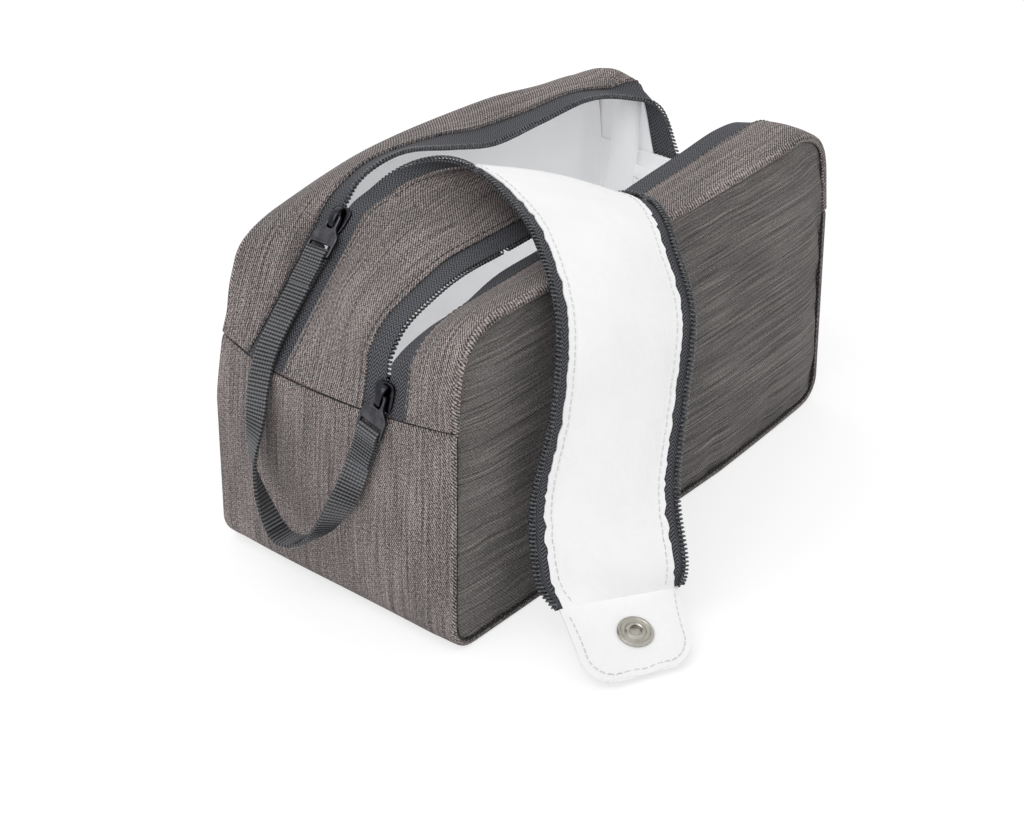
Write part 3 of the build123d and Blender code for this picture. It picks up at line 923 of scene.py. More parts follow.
@dataclass(frozen=True)
class GreyBoard:
    """Polyethylene stiffening sheet, extruded. Matt and grey with faint lines of the die."""

    name: str
    dark: str = "#7d7d7a"
    light: str = "#8f8f8c"
    lines: Point = (0.06, 1.5, 0.001)  # across and along the die's lines, to the millimetre

    def make(self) -> Material:
        """The material."""
        paint = Recipe(self.name)
        lines = paint.grain(1.0, 2.0, self.lines)
        colour = paint.ramp(lines, (0.3, self.dark), (0.7, self.light))
        return paint.done(colour, Roughness=0.6, Normal=paint.bump(lines, 0.05))


def made(recipe: Any, slot: str) -> Any:
    """A wardrobe's field, with the finish that a recipe makes and its slot in the record."""
    return field(default_factory=lambda: (recipe.make(), slot))


@dataclass
class Wardrobe:
    """The finishes of the bag, made once."""

    cloth: Finish = made(HeatherTwill("polyester_heather_twill_woven_along"), "outer_cloth")
    cloth_across: Finish = made(
        HeatherTwill(
            "polyester_heather_twill_woven_across",
            Thread.ACROSS,
            dark="#333332",
            middle="#686564",
            pale="#7a7675",
            light="#a29c9a",
            streaks=0.5,
            grain=0.5,
            diagonals=0.5,
        ),
        "outer_cloth",
    )
    # the lining's glow is a painted glow: its emission brightens the inside of the bag though it is
    # no lamp
    lining: Finish = made(
        LiningTaffeta("polyester_taffeta_grey_woven", "#fbfbfc", "#f3f4f5", glow=0.095),
        "lining_cloth",
    )
    flap_lining: Finish = made(
        LiningTaffeta("polyester_taffeta_white_woven", "#f4f4f4", "#f0f0f1"), "lining_cloth"
    )
    tape: Finish = made(ZipTape("polyester_tape_herringbone_woven"), "zip_tape")
    # the coil's near-black is its own colour; its lighter grey specks, random over a 1 mm grain,
    # are painted highlights standing in for glints on its turns
    coil: Finish = made(
        Nylon("nylon_monofilament_extruded", "#5a5c61", "#1b1c1f", 0.22), "zip_coil"
    )
    webbing: Finish = made(RibbedWebbing("polypropylene_webbing_ribbed"), "webbing")
    dark_thread: Finish = made(
        Nylon("polyester_thread_charcoal_spun", "#4a4747", "#333133", 0.6), "outer_cloth"
    )
    # black seam thread: real stitching, drawn black and nearly unbroken so that it also paints the
    # shadow line in the seams' crevices
    seam_shadow_thread: Finish = made(
        Nylon("polyester_thread_black_spun", "#1c1b1b", "#111111", 0.8), "outer_cloth"
    )
    pale_thread: Finish = made(
        Nylon("polyester_thread_white_spun", "#dcdcde", "#c9cacc", 0.6), "outer_cloth"
    )
    slider: Finish = made(
        PlatedMetal("zinc_diecast_gunmetal_gloss", "#2b2b30", "#3d3d43", 0.16), "slider_metal"
    )
    pull: Finish = made(
        PlatedMetal("zinc_diecast_gunmetal_satin", "#434347", "#5c5c61", 0.34), "pull_metal"
    )
    snap: Finish = made(
        PlatedMetal("brass_pressed_nickel_plated", "#a5a29a", "#bdbab2", 0.34), "snap_metal"
    )
    board: Finish = made(GreyBoard("polyethylene_sheet_extruded"), "base_board")


# Pieces


@dataclass(frozen=True)
class Bend:
    """A stretch that bends between two bodies, from one point to another in millimetres."""

    fixed: Body
    moving: Body
    start: Sequence[float]
    end: Sequence[float]


def dress(thing: Thing, finish: Finish) -> Thing:
    """Gives a piece its material."""
    material, slot = finish
    thing.data.materials.clear()
    thing.data.materials.append(material)
    return thing


def settle(thing: Thing, where: Body | Bend, *nodes: str) -> Thing:
    """Joins a piece to a body; a piece between two is only baked in place. Hides the CAD nodes it
    replaces, and reports it.
    """
    if isinstance(where, Bend):
        ends = (tuple(np.array(point) * MM) for point in (where.start, where.end))
        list(ends)
        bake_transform(thing)
        on = f"between {where.fixed.value} and {where.moving.value}"
    else:
        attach(thing, where.value)
        on = f"on {where.value}"
    if nodes:
        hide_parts(*nodes)
    log.info("%s: %d faces %s", thing.name, len(thing.data.polygons), on)
    return thing


def lay(
    name: str,
    grids: tuple[Array, Array],
    layer: tuple[float, float],
    finish: Finish,
    where: Body | Bend,
    *nodes: str,
    held: str = "stretched",
    uv: Array | None = None,
    cut: Array | None = None,
    **lies: Any,
) -> None:
    """Adds one cut piece of cloth.

    Args:
        name: the piece's name.
        grids: its grid and its normals.
        layer: its under and outer faces along the normals, in millimetres.
        finish: its material and slot.
        where: what it rides on.
        nodes: the CAD nodes that it takes the place of.
        held: not used.
        uv: metres across and along, or None for the grid's own distances.
        cut: the grid that gives its flat size, or None for its own.
        lies: not used.
    """
    thing = settle(dress(shell(name, *grids, *layer, uv), finish), where, *nodes)
    middle = grids[0] if cut is None else cut
    width = float(distances(middle, 1)[:, -1].max()) * MM
    length = float(distances(middle, 0)[-1, :].max()) * MM
    corners = np.cross(middle[1:, 1:] - middle[:-1, :-1], middle[1:, :-1] - middle[:-1, 1:])


def stitch_line(
    name: str,
    path: Array,
    normals: Array,
    thread: Finish,
    pitch: float = 3.0,
    length: float = 2.1,
    radius: float = 0.24,
) -> Thing:
    """A row of stitches that lie on a line.

    Args:
        name: the piece's name.
        path: the line's points in millimetres.
        normals: the cloth's normals at them.
        thread: its finish.
        pitch: from one stitch to the next.
        length: of the thread that shows.
        radius: of the thread.

    Returns:
        The object, all stitches in one mesh.
    """
    gone = distances(path, 0)
    points, faces, start = [], [], 0
    bow = np.array([-0.3, 0.75, 1.0, 0.75, -0.3]) * radius
    for k in range(int(gone[-1] / pitch)):
        places = pitch * (k + 0.5) + length * np.array([-0.5, -0.3, 0.0, 0.3, 0.5])
        line = sample(path, gone, places) + sample(normals, gone, places) * bow[:, None]
        ring, sides = tube(line, radius, 6, start)
        points.append(ring)
        faces += sides
        start += len(ring)
    return dress(mesh_object(name, np.vstack(points), faces), thread)


@dataclass(frozen=True)
class Coil:
    """A zip's coil: one nylon filament wound along a tape's edge, in millimetres."""

    pitch: float = 1.7
    half_width: float = 1.15
    half_height: float = 0.72
    filament: float = 0.42
    steps: int = 10  # points in a turn

    def wind(
        self, name: str, path: Array, side: Array, lift: Array, finish: Finish, phase: float
    ) -> Thing:
        """The coil's object.

        Args:
            name: the piece's name.
            path: the coil's middle line in millimetres.
            side: directions across the tape at its points.
            lift: directions away from the tape.
            finish: the filament's finish.
            phase: share of a turn that the coil starts with.

        Returns:
            The object.
        """
        gone = distances(path, 0)
        turns = int((gone[-1] - self.pitch) / self.pitch)
        angle = np.linspace(0, turns * 2 * math.pi, turns * self.steps)
        places = self.pitch / 2 + (angle / (2 * math.pi) + phase * 0.5) * self.pitch
        turn = angle + phase * 2 * math.pi
        line = sample(path, gone, places)
        line += sample(side, gone, places) * (self.half_width * np.cos(turn))[:, None]
        line += sample(lift, gone, places) * (self.half_height * np.sin(turn))[:, None]
        return dress(mesh_object(name, *tube(line, self.filament, 6), sharp=80), finish)


@dataclass
class Patch:
    """A strip of cloth between two rails, as a grid with its stations and normals."""

    rail_a: Rail
    rail_b: Rail
    first: float
    last: float
    columns: int = 13
    spacing: float = 2.5
    crown: Callable[[Array, Array], Array] | None = None
    margin_a: float = 0.0
    margin_b: float = 0.0
    stations: Array = field(init=False)
    middle: Array = field(init=False)
    normals: Array = field(init=False)
    across: Array = field(init=False)

    def __post_init__(self) -> None:
        """Builds the grid. A row more at each end gives the end rows' normals."""
        beside = 0.05
        self.stations = spread([self.rail_a, self.rail_b], self.first, self.last, self.spacing)
        wider = np.concatenate([[self.first - beside], self.stations, [self.last + beside]])
        grid = self.points_at(wider)
        self.middle, self.normals = grid[1:-1], outward(grid)[1:-1]
        self.across = unit(self.middle[:, -1] - self.middle[:, 0])

    def points_at(self, stations: Array) -> Array:
        """The grid's points at some stations."""
        a, b = curve_at(self.rail_a, stations), curve_at(self.rail_b, stations)
        way = unit(b - a)
        a, b = a + way * self.margin_a, b - way * self.margin_b
        turn = np.cos(math.pi * np.linspace(0, 1, self.columns))
        share = 0.5 - 0.5 * turn * (0.75 + 0.25 * turn**2)
        grid = a[:, None] + (b - a)[:, None] * share[None, :, None]
        if self.crown is not None:
            rise = self.crown(stations[:, None], share[None, :])
            grid = grid + outward(grid) * rise[..., None]
        return grid

    def line(self, share: float, lift: float) -> tuple[Array, Array]:
        """A line along the grid at a share of its width, lifted along the normals.

        Args:
            share: 0 at the first rail and 1 at the second.
            lift: millimetres along the normals.

        Returns:
            The line's points, and the normals there.
        """
        points, normals = [], []
        for row, lifts, gone in zip(self.middle, self.normals, distances(self.middle, 1)):
            place = gone[-1] * share
            points.append(sample(row, gone, place))
            normals.append(sample(lifts, gone, place))
        out = unit(np.array(normals))
        return np.array(points) + out * lift, out


@dataclass
class HalfZip:
    """Half a zip: a tape with a coil along one edge.

    The coil is wound beside its rail, shifted some millimetres towards the cloth and sunk under
    the tape.
    """

    stem: str
    coil_rail: Rail
    cloth_rail: Rail
    coil_last: bool
    first: float
    last: float
    spacing: float = 2.5
    inside: float = -0.6
    shift: float = 0.5
    sunk: float = 1.3
    phase: float = 0.0
    under_cloth: float = 2.5

    def build(self, finishes: Wardrobe, where: Body | Bend, held: str = "stretched") -> None:
        """Adds the tape and the coil."""
        rails, margins = (self.coil_rail, self.cloth_rail), (self.inside, -self.under_cloth)
        step = -1 if self.coil_last else 1
        strip = Patch(
            *rails[::step], self.first, self.last, 7, self.spacing, None, *margins[::step]
        )
        grids = (strip.middle, strip.normals)
        node = f"{self.stem}_tape"
        lay(f"{node}_woven", grids, THIN, finishes.tape, where, node, held=held)
        row = -1 if self.coil_last else 0
        lift = strip.normals[:, row]
        line = strip.middle[:, row] + strip.across * step * self.shift - lift * self.sunk
        node = f"{self.stem}_coil"
        coil = Coil().wind(f"{node}_wound", line, strip.across, lift, finishes.coil, self.phase)
        settle(coil, where, node)


@dataclass
class Studio:
    """The pale floor, the soft lights and the camera at the photograph's angle."""

    eye: Point = (-820.87, -645.38, 615.48)
    yaw: float = 51.35
    pitch: float = 29.42
    lens: float = 100.2
    sensor: float = 36.0
    reach: tuple[float, float] = (0.05, 20.0)
    aim: Point = (0, 0, 0.06)
    floor_size: float = 6.0
    world_level: float = 0.66
    lamps: tuple[tuple[str, Point, float, float], ...] = (
        ("key", (-1.15, -0.2, 1.45), 1.5, 15.0),
        ("fill", (0.7, -1.3, 0.8), 1.4, 1.5),
        ("above", (0.6, 0.9, 1.3), 1.0, 3.0),
    )

    def build(self) -> None:
        """Adds the camera, the world, the lamps and the floor."""
        bpy.context.scene.view_settings.view_transform = "Standard"
        self.place_camera()
        self.light_world()
        for lamp in self.lamps:
            self.lamp(*lamp)
        self.lay_floor()

    def place_camera(self) -> None:
        """The camera, at the photograph's place and angle."""
        data = bpy.data.cameras.new("camera")
        data.lens, data.sensor_width = self.lens, self.sensor
        data.clip_start, data.clip_end = self.reach
        camera = bpy.data.objects.new("camera", data)
        bpy.context.scene.collection.objects.link(camera)
        yaw, pitch = math.radians(self.yaw), math.radians(self.pitch)
        flat = math.cos(pitch)
        ahead = Vector((flat * math.sin(yaw), flat * math.cos(yaw), -math.sin(pitch)))
        aside = Vector((math.cos(yaw), -math.sin(yaw), 0))
        camera.matrix_world = placed(Vector(self.eye) * MM, aside, aside.cross(ahead), -ahead)
        bpy.context.scene.camera = camera

    def seen(self, tree: bpy.types.NodeTree, *kinds: str) -> Pattern:
        """1 for the rays of some kinds, and 0 for the light that falls on the bag."""
        path = add(tree, "ShaderNodeLightPath").outputs
        rays = [Pattern(tree, path[f"Is {kind} Ray"]) for kind in kinds]
        found = rays[0]
        for other in rays[1:]:
            found = found.maths("MAXIMUM", found, other)
        return found

    def light_world(self) -> None:
        """An even white world, seen white and lighting more softly."""
        world = bpy.data.worlds.new("white_room")
        bpy.context.scene.world = world
        world.use_nodes = True
        tree = world.node_tree
        seen = self.seen(tree, "Camera", "Glossy", "Transmission")
        background = tree.nodes["Background"]
        feed(tree, background.inputs["Color"], (1, 1, 1, 1))
        feed(tree, background.inputs["Strength"], seen + (1.0 - seen) * self.world_level)

    def lamp(self, name: str, place: Point, size: float, power: float) -> None:
        """A square soft light that points at the bag."""
        data = bpy.data.lights.new(name, "AREA")
        data.shape, data.size, data.energy = "SQUARE", size, power
        thing = bpy.data.objects.new(name, data)
        bpy.context.scene.collection.objects.link(thing)
        thing.location = place
        aim = Vector(self.aim) - Vector(place)
        thing.rotation_euler = aim.to_track_quat("-Z", "Y").to_euler()

    def lay_floor(self) -> None:
        """A floor that shows white and keeps the bag's soft shadow."""
        h = self.floor_size / 2 / MM
        under = 0.3
        corners = np.array([(x, y, -under) for x, y in ((-h, -h), (h, -h), (h, h), (-h, h))])
        floor = mesh_object("floor", corners, [(0, 1, 2, 3)], soft=False)
        paper = Recipe("paper_white_backdrop")
        tree = paper.tree
        material = paper.done(linear("#f4f4f4"), Roughness=0.9, Specular_IOR_Level=0.1)
        glow = add(tree, "ShaderNodeEmission", {"Color": (1, 1, 1, 1), "Strength": 1.16})
        share = self.seen(tree, "Camera", "Glossy") * 0.62
        shaders = {0: share, 1: paper.shader.outputs[0], 2: glow.outputs[0]}
        mix = add(tree, "ShaderNodeMixShader", shaders)
        feed(tree, tree.nodes["Material Output"].inputs["Surface"], mix.outputs[0])
        floor.data.materials.append(material)


def base_line(x: Array, inset: float) -> Array:
    """Z of the bag's base line under each X, with its rounded corners."""
    r = CORNER - inset
    past = np.clip(np.abs(x) - (HALF - inset - r), 0, r)
    return inset + r - np.sqrt(np.maximum(r * r - past * past, 0))


@dataclass
class SidePanel:
    """A padded side: cloth over foam in one closed pad, and the lining inside it."""

    name: str
    rail: Rail
    sign: int
    columns: int = 74
    rows: int = 40
    inset: float = 1.7
    pad_y: float = HALF_DEPTH - 0.4
    pad_depth: float = 3.1
    fill: float = 0.7
    cap: float = 3.4  # the most that the simulation may move the cloth
    swell: float = 3.2
    spare: float = 0.012
    seam_sunk: float = 1.2
    seam_width: float = 1.6
    # the seam's stitches: thick black thread that also paints the shadow line in the seam's crevice
    stitch_inset: float = 2.6
    stitch_y: float = HALF_DEPTH - 0.7
    stitch_radius: float = 0.45
    lining_inset: float = 2.6
    lining_y: float = 57.75
    lining_folds: float = 1.3
    frames: int = 20

    def outline_top(self, x: Array, inset: float) -> Array:
        """Z of the panel's upper edge over each X."""
        fine = curve_at(self.rail, np.linspace(0, len(self.rail) - 1, 600))
        order = np.argsort(fine[:, 0], kind="stable")
        return np.interp(x, fine[order, 0], fine[order, 2]) + SKIN - inset

    def grid(self, inset: float, y: float) -> Array:
        """The panel's flat grid at one Y, rows up the panel and columns along it."""
        edge = HALF - inset
        t = np.linspace(-1, 1, self.columns)
        x = edge * np.sign(t) * (1 - (1 - np.abs(t)) ** 1.25)
        low = base_line(x, inset)
        high = self.outline_top(x * (HALF - SKIN) / edge, inset)
        low[[0, -1]] = CORNER
        high[[0, -1]] = SEAM
        turn = np.cos(math.pi * np.linspace(0, 1, self.rows))
        v = 0.5 - 0.45 * turn - 0.05 * turn**3
        v = (v - v[0]) / (v[-1] - v[0])
        z = low[None] + (high - low)[None] * v[:, None]
        return np.stack([np.broadcast_to(x, z.shape), np.full_like(z, y * self.sign), z], axis=-1)

    def build(self, finishes: Wardrobe) -> None:
        """Adds the pad, the seam's black stitches, which also paint the shadow line in the seam,
        and the lining.
        """
        panel = f"{self.name}_panel"
        pad = dress(self.make_pad(), finishes.cloth_across)
        settle(pad, Body.BAG, panel, f"{panel}_foam")
        # the seam's stitches, black and nearly unbroken: real thread that also paints the seam's
        # shadow line
        grid = self.grid(self.stitch_inset, self.stitch_y)
        path = grid.reshape(-1, 3)[rim_of(self.rows, self.columns)]
        out = np.broadcast_to([0.0, float(self.sign), 0.0], path.shape)
        sizes = (*SEAM_SHADOW_STITCH, self.stitch_radius)
        name = f"{self.name}_seam_stitches"
        settle(stitch_line(name, path, out, finishes.seam_shadow_thread, *sizes), Body.BAG)
        self.add_lining(finishes)

    def make_pad(self) -> Thing:
        """The cloth and foam as one closed pad, swollen between its seams."""
        outer = self.grid(self.inset, self.pad_y)
        x, z = outer[..., 0], outer[..., 2]
        away = np.minimum(HALF - np.abs(x), self.outline_top(x, 0) - z)
        away = np.minimum(away, z - base_line(x, 0))
        sunk = self.seam_sunk * hump(away - self.inset, self.seam_width)
        outer[..., 1] -= self.sign * sunk
        inner = self.grid(self.inset - 0.1, HALF_DEPTH - self.pad_depth)
        points = np.vstack([outer.reshape(-1, 3), inner.reshape(-1, 3)])
        faces = layer_faces(self.rows, self.columns, self.sign > 0)
        uv = outer[..., [0, 2]].reshape(-1, 2) * MM
        pad = mesh_object(f"{self.name}_panel_pad", points, faces, np.vstack([uv, uv]))
        held = np.zeros(len(points), bool)
        held[rim_of(self.rows, self.columns)] = True
        held[len(uv) :] = True
        self.swell_pad(pad, held)
        smooth = pad.modifiers.new("smooth", "SUBSURF")
        smooth.levels = smooth.render_levels = 1
        return pad

    def swell_pad(self, pad: Thing, held: Array) -> None:
        """Swells the pad with its seam held, and keeps the shape that it found."""
        rest = np.array([v.co[:] for v in pad.data.vertices])
        move = self.drape(pad, held, rest)
        move[held] = 0
        gathered = self.seam_puckers(rest)
        gathered[held] = 0
        move[:, 1] += self.sign * gathered * MM
        pad.data.vertices.foreach_set("co", (rest + move).astype(np.float32).ravel())
        pad.data.update()

    def drape(self, pad: Thing, held: Array, rest: Array) -> Array:
        group = pad.vertex_groups.new(name="seam")
        group.add([int(i) for i in np.flatnonzero(held)], 1.0, "REPLACE")
        cloth = pad.modifiers.new("cloth", "CLOTH")
        for name, value in {
            "quality": 6,
            "mass": 0.25,
            "tension_stiffness": 18,
            "compression_stiffness": 18,
            "bending_stiffness": 2.0,
            "vertex_group_mass": "seam",
            "shrink_min": -self.spare,
            "use_pressure": True,
            "uniform_pressure_force": 4.0,
        }.items():
            setattr(cloth.settings, name, value)
        cloth.settings.effector_weights.gravity = 0.0
        cloth.point_cache.frame_start, cloth.point_cache.frame_end = 1, self.frames
        for number in range(1, self.frames + 1):
            bpy.context.scene.frame_set(number)
        ready = pad.evaluated_get(bpy.context.evaluated_depsgraph_get())
        found = np.array([v.co[:] for v in ready.data.vertices])
        pad.modifiers.remove(cloth)
        bpy.context.scene.frame_set(1)
        pad.vertex_groups.remove(group)
        move = found - rest
        size = np.linalg.norm(move, axis=1, keepdims=True)
        limit = self.cap * MM
        return move * (limit * np.tanh(size / limit) / np.maximum(size, 1e-9))

    def seam_puckers(self, rest: Array) -> Array:
        """Millimetres that the seams' gathering lifts the cloth beside them."""
        x, z = rest[:, 0] / MM, rest[:, 2] / MM
        from_left, from_right = HALF + x, HALF - x
        from_top = self.outline_top(x, 0) - z
        from_base = z - base_line(np.clip(x, -HALF, HALF), 0)
        lift = np.zeros_like(x)
        for seed, height, along, length, away, reach in (
            (3, 0.75, z + 0.4 * x, 13.0, from_left, 16),
            (5, 0.5, z - 0.3 * x, 15.0, from_right, 14),
            (7, 0.3, x + 0.3 * z, 17.0, from_top, 9),
            (9, 0.35, x - 0.3 * z, 16.0, from_base, 10),
        ):
            lift += height * ripples(seed, along, length) * hump(away, reach)
        lift += 0.35 * ripples(11, x * 0.4 + z, 55.0)
        near = np.minimum(np.minimum(from_left, from_right), np.minimum(from_top, from_base))
        return lift * np.clip(near / 3, 0, 1)

    def add_lining(self, finishes: Wardrobe) -> None:
        """The panel's lining, a soft sheet with shallow folds."""
        middle = self.grid(self.lining_inset, self.lining_y)
        x, z = middle[..., 0], middle[..., 2]
        v = np.linspace(0, 1, self.rows)[:, None] * np.ones_like(x)
        u = (x + HALF) / (2 * HALF)
        room = np.minimum(np.minimum(u, 1 - u) * 12, np.minimum(v, 1 - v) * 5)
        sag = 0.5 + 0.5 * ripples(21, x * 0.9 + 0.5 * z, 70.0) * ripples(22, z - 0.3 * x, 60.0)
        folds = self.lining_folds * np.clip(room, 0, 1) * np.clip(sag, 0, 1.2)
        middle[..., 1] -= self.sign * folds
        normals = outward(middle)
        normals *= np.sign(normals[..., 1:2]) * self.sign
        lay(
            f"{self.name}_panel_lining_sheet",
            (middle, normals),
            THIN,
            finishes.lining,
            Body.BAG,
            f"{self.name}_panel_lining",
            uv=middle[..., [0, 2]] * MM,
            rests_on=[f"{self.name}_panel_pad"],
        )


@dataclass
class Band:
    """The cloth of both ends and the base in one piece, with its lining."""

    half_width: float = 60.0
    inset: float = 0.4
    lining_half_width: float = 59.3
    lining_inset: float = 2.75
    bulge: float = 4.6
    groove: float = 1.5
    ridge: float = 0.7
    ridge_below: float = 3.6
    wave: float = 0.9  # of the lining
    columns: int = 44
    heart: Point = (0, 0, 60.0)

    def path(self, inset: float, top_z: float) -> Array:
        """The band's line from the left end seam round the base to the right one, XZ points."""
        x, r = HALF - inset, CORNER - inset
        turn = np.linspace(0, math.pi / 2, 13)
        rows = top_z - (top_z - CORNER) * np.linspace(0, 1, 28) ** 1.5  # closer beside the seam
        left_side = [(-x, z) for z in rows]
        left_turn = [(-x + r - r * math.cos(a), CORNER - r * math.sin(a)) for a in turn[1:]]
        base = [(px, inset) for px in np.linspace(-x + r, x - r, 70)[1:]]
        right_turn = [(x - r + r * math.sin(a), CORNER - r * math.cos(a)) for a in turn[1:]]
        right_side = [(x, z) for z in rows[-2::-1]]
        return np.array(left_side + left_turn + base + right_turn + right_side)

    def grid(self, inset: float, top_z: float, half_width: float) -> tuple[Array, Array]:
        """The band's grid and its normals.

        Args:
            inset: how far inside the bag's outline it lies, in millimetres.
            top_z: Z of its ends.
            half_width: from its middle to its long edges.

        Returns:
            Rows along its line and columns from the front to the rear, and the normals.
        """
        line = self.path(inset, top_z)
        t = np.linspace(-1, 1, self.columns)
        y = half_width * np.sign(t) * (1 - (1 - np.abs(t)) ** 1.35)
        y = np.broadcast_to(y, (len(line), self.columns))
        x, z = (np.broadcast_to(side[:, None], y.shape) for side in line.T)
        grid = np.stack([x, y, z], axis=-1)
        return grid, facing(outward(grid), grid - np.array(self.heart))

    def build(self, finishes: Wardrobe) -> None:
        """Adds the outer cloth, the lining and their seams, whose black stitches also paint the
        seams' shadow line.
        """
        half = self.half_width
        middle, normals = self.grid(self.inset, SEAM - 0.1, half)
        y, z = middle[..., 1], middle[..., 2]
        side = np.sign(middle[..., 0])
        share = np.clip(1 - (y / half) ** 2, 0, 1)
        below = SEAM - z
        shape = np.sin(math.pi * np.clip(below / SEAM, 0, 1) ** 0.85) ** 0.8 * share**0.6
        upright = np.abs(normals[..., 0])
        edge = half - np.abs(y)
        rise = self.bulge * shape * upright * np.where(side < 0, 0.25, 1.0)
        rise += 0.5 * ripples(31, y + 0.2 * z, 19.0) * hump(below, 15) * share * upright
        rise += 0.55 * ripples(33, z + 0.35 * y * side, 46.0) * share * upright
        rise += 0.5 * ripples(35, z + 0.3 * y, 14.0) * hump(edge, 10) * upright
        rise *= np.clip(edge / 4.0, 0, 1) * np.clip(below / 4.0, 0, 1)
        rise -= self.groove * hump(below, 1.5) * upright
        rise += self.ridge * hump(below - self.ridge_below, 1.6) * share * upright
        grids = (middle + normals * rise[..., None], normals)
        for at_start, face in ((True, -1.0), (False, 1.0)):
            grids = rolled(*grids, at_start, face)
        lay("end_and_base_cloth", grids, (-0.4, 0.4), finishes.cloth, Body.BAG, "end_and_base_band")
        # end seam stitches: real thread, drawn black and nearly unbroken so that it also paints the
        # seam's shadow line
        for row, end in ((1, "left"), (-2, "right")):
            path, out = (grid[row, 3:-3] for grid in grids)
            name = f"{end}_end_seam_stitches"
            path = path + out * 0.6
            settle(stitch_line(name, path, out, finishes.seam_shadow_thread, *SEAM_SHADOW_STITCH), Body.BAG)
        self.add_lining(finishes)

    def add_lining(self, finishes: Wardrobe) -> None:
        """The lining of the ends and the base, loose enough to wave a little."""
        half = self.lining_half_width
        middle, normals = self.grid(self.lining_inset, SEAM + 0.4, half)
        x, y, z = (middle[..., axis] for axis in range(3))
        upright = np.abs(normals[..., 0])
        room = np.clip((SEAM - z) / 8.0, 0, 1) * np.clip(1 - (y / half) ** 2, 0, 1)
        inward = self.wave * (0.5 + 0.5 * ripples(41, y + 0.25 * z, 26.0)) * upright * room
        inward *= np.where(x > 0, 0.4, 1.0)
        grids = (middle - normals * inward[..., None], normals)
        lay("end_and_base_lining", grids, THIN, finishes.lining, Body.BAG, "band_lining")


@dataclass
class TopStrip:
    """The narrow cloth beside a side panel's top edge, with its lining and half a zip."""

    name: str
    panel_rail: Rail
    edge_rail: Rail
    coil_rail: Rail
    at_rear: bool
    crown: float = 1.1
    corner_crown: float = 2.0
    stitch_share: float = 0.035

    def build(self, finishes: Wardrobe) -> None:
        """Adds the cloth, the lining, the tape and the coil."""
        last = len(self.panel_rail) - 1
        order = 1 if self.at_rear else -1

        def dome(stations: Array, share: Array) -> Array:
            ends = np.clip(np.minimum(stations, last - stations) / 1.2, 0, 1)
            corner = self.corner_crown * self.at_rear * hump(stations - last + 1.4, 1)
            return (self.crown + corner) * ends * (1 - (2 * share - 1) ** 2)

        rails, margins = (self.panel_rail, self.edge_rail)[::order], (0.3, 0.2)[::order]
        cloth = Patch(*rails, 0, last, 15, 2.5, dome, *margins)
        grids = (cloth.middle, cloth.normals)
        strip = f"{self.name}_strip"
        over = rolled(*grids, self.at_rear, float(order))
        node = f"{self.name}_top_strip"
        lay(f"{strip}_cloth", over, OUTER, finishes.cloth, Body.BAG, node)
        node = f"{strip}_lining"
        lay(f"{node}_sheet", grids, INNER, finishes.lining, Body.BAG, node)
        ways = (0.2, -0.2, -0.45) if self.at_rear else (-0.5, 0.5, 1.3)
        half_zip = HalfZip(
            f"{self.name}_zip", self.coil_rail, self.edge_rail, self.at_rear, 0, last, 2.5, *ways
        )
        half_zip.build(finishes, Body.BAG)
        share = 1 - self.stitch_share if self.at_rear else self.stitch_share
        line = cloth.line(share, SKIN)
        settle(stitch_line(f"{strip}_topstitch", *line, finishes.dark_thread), Body.BAG)


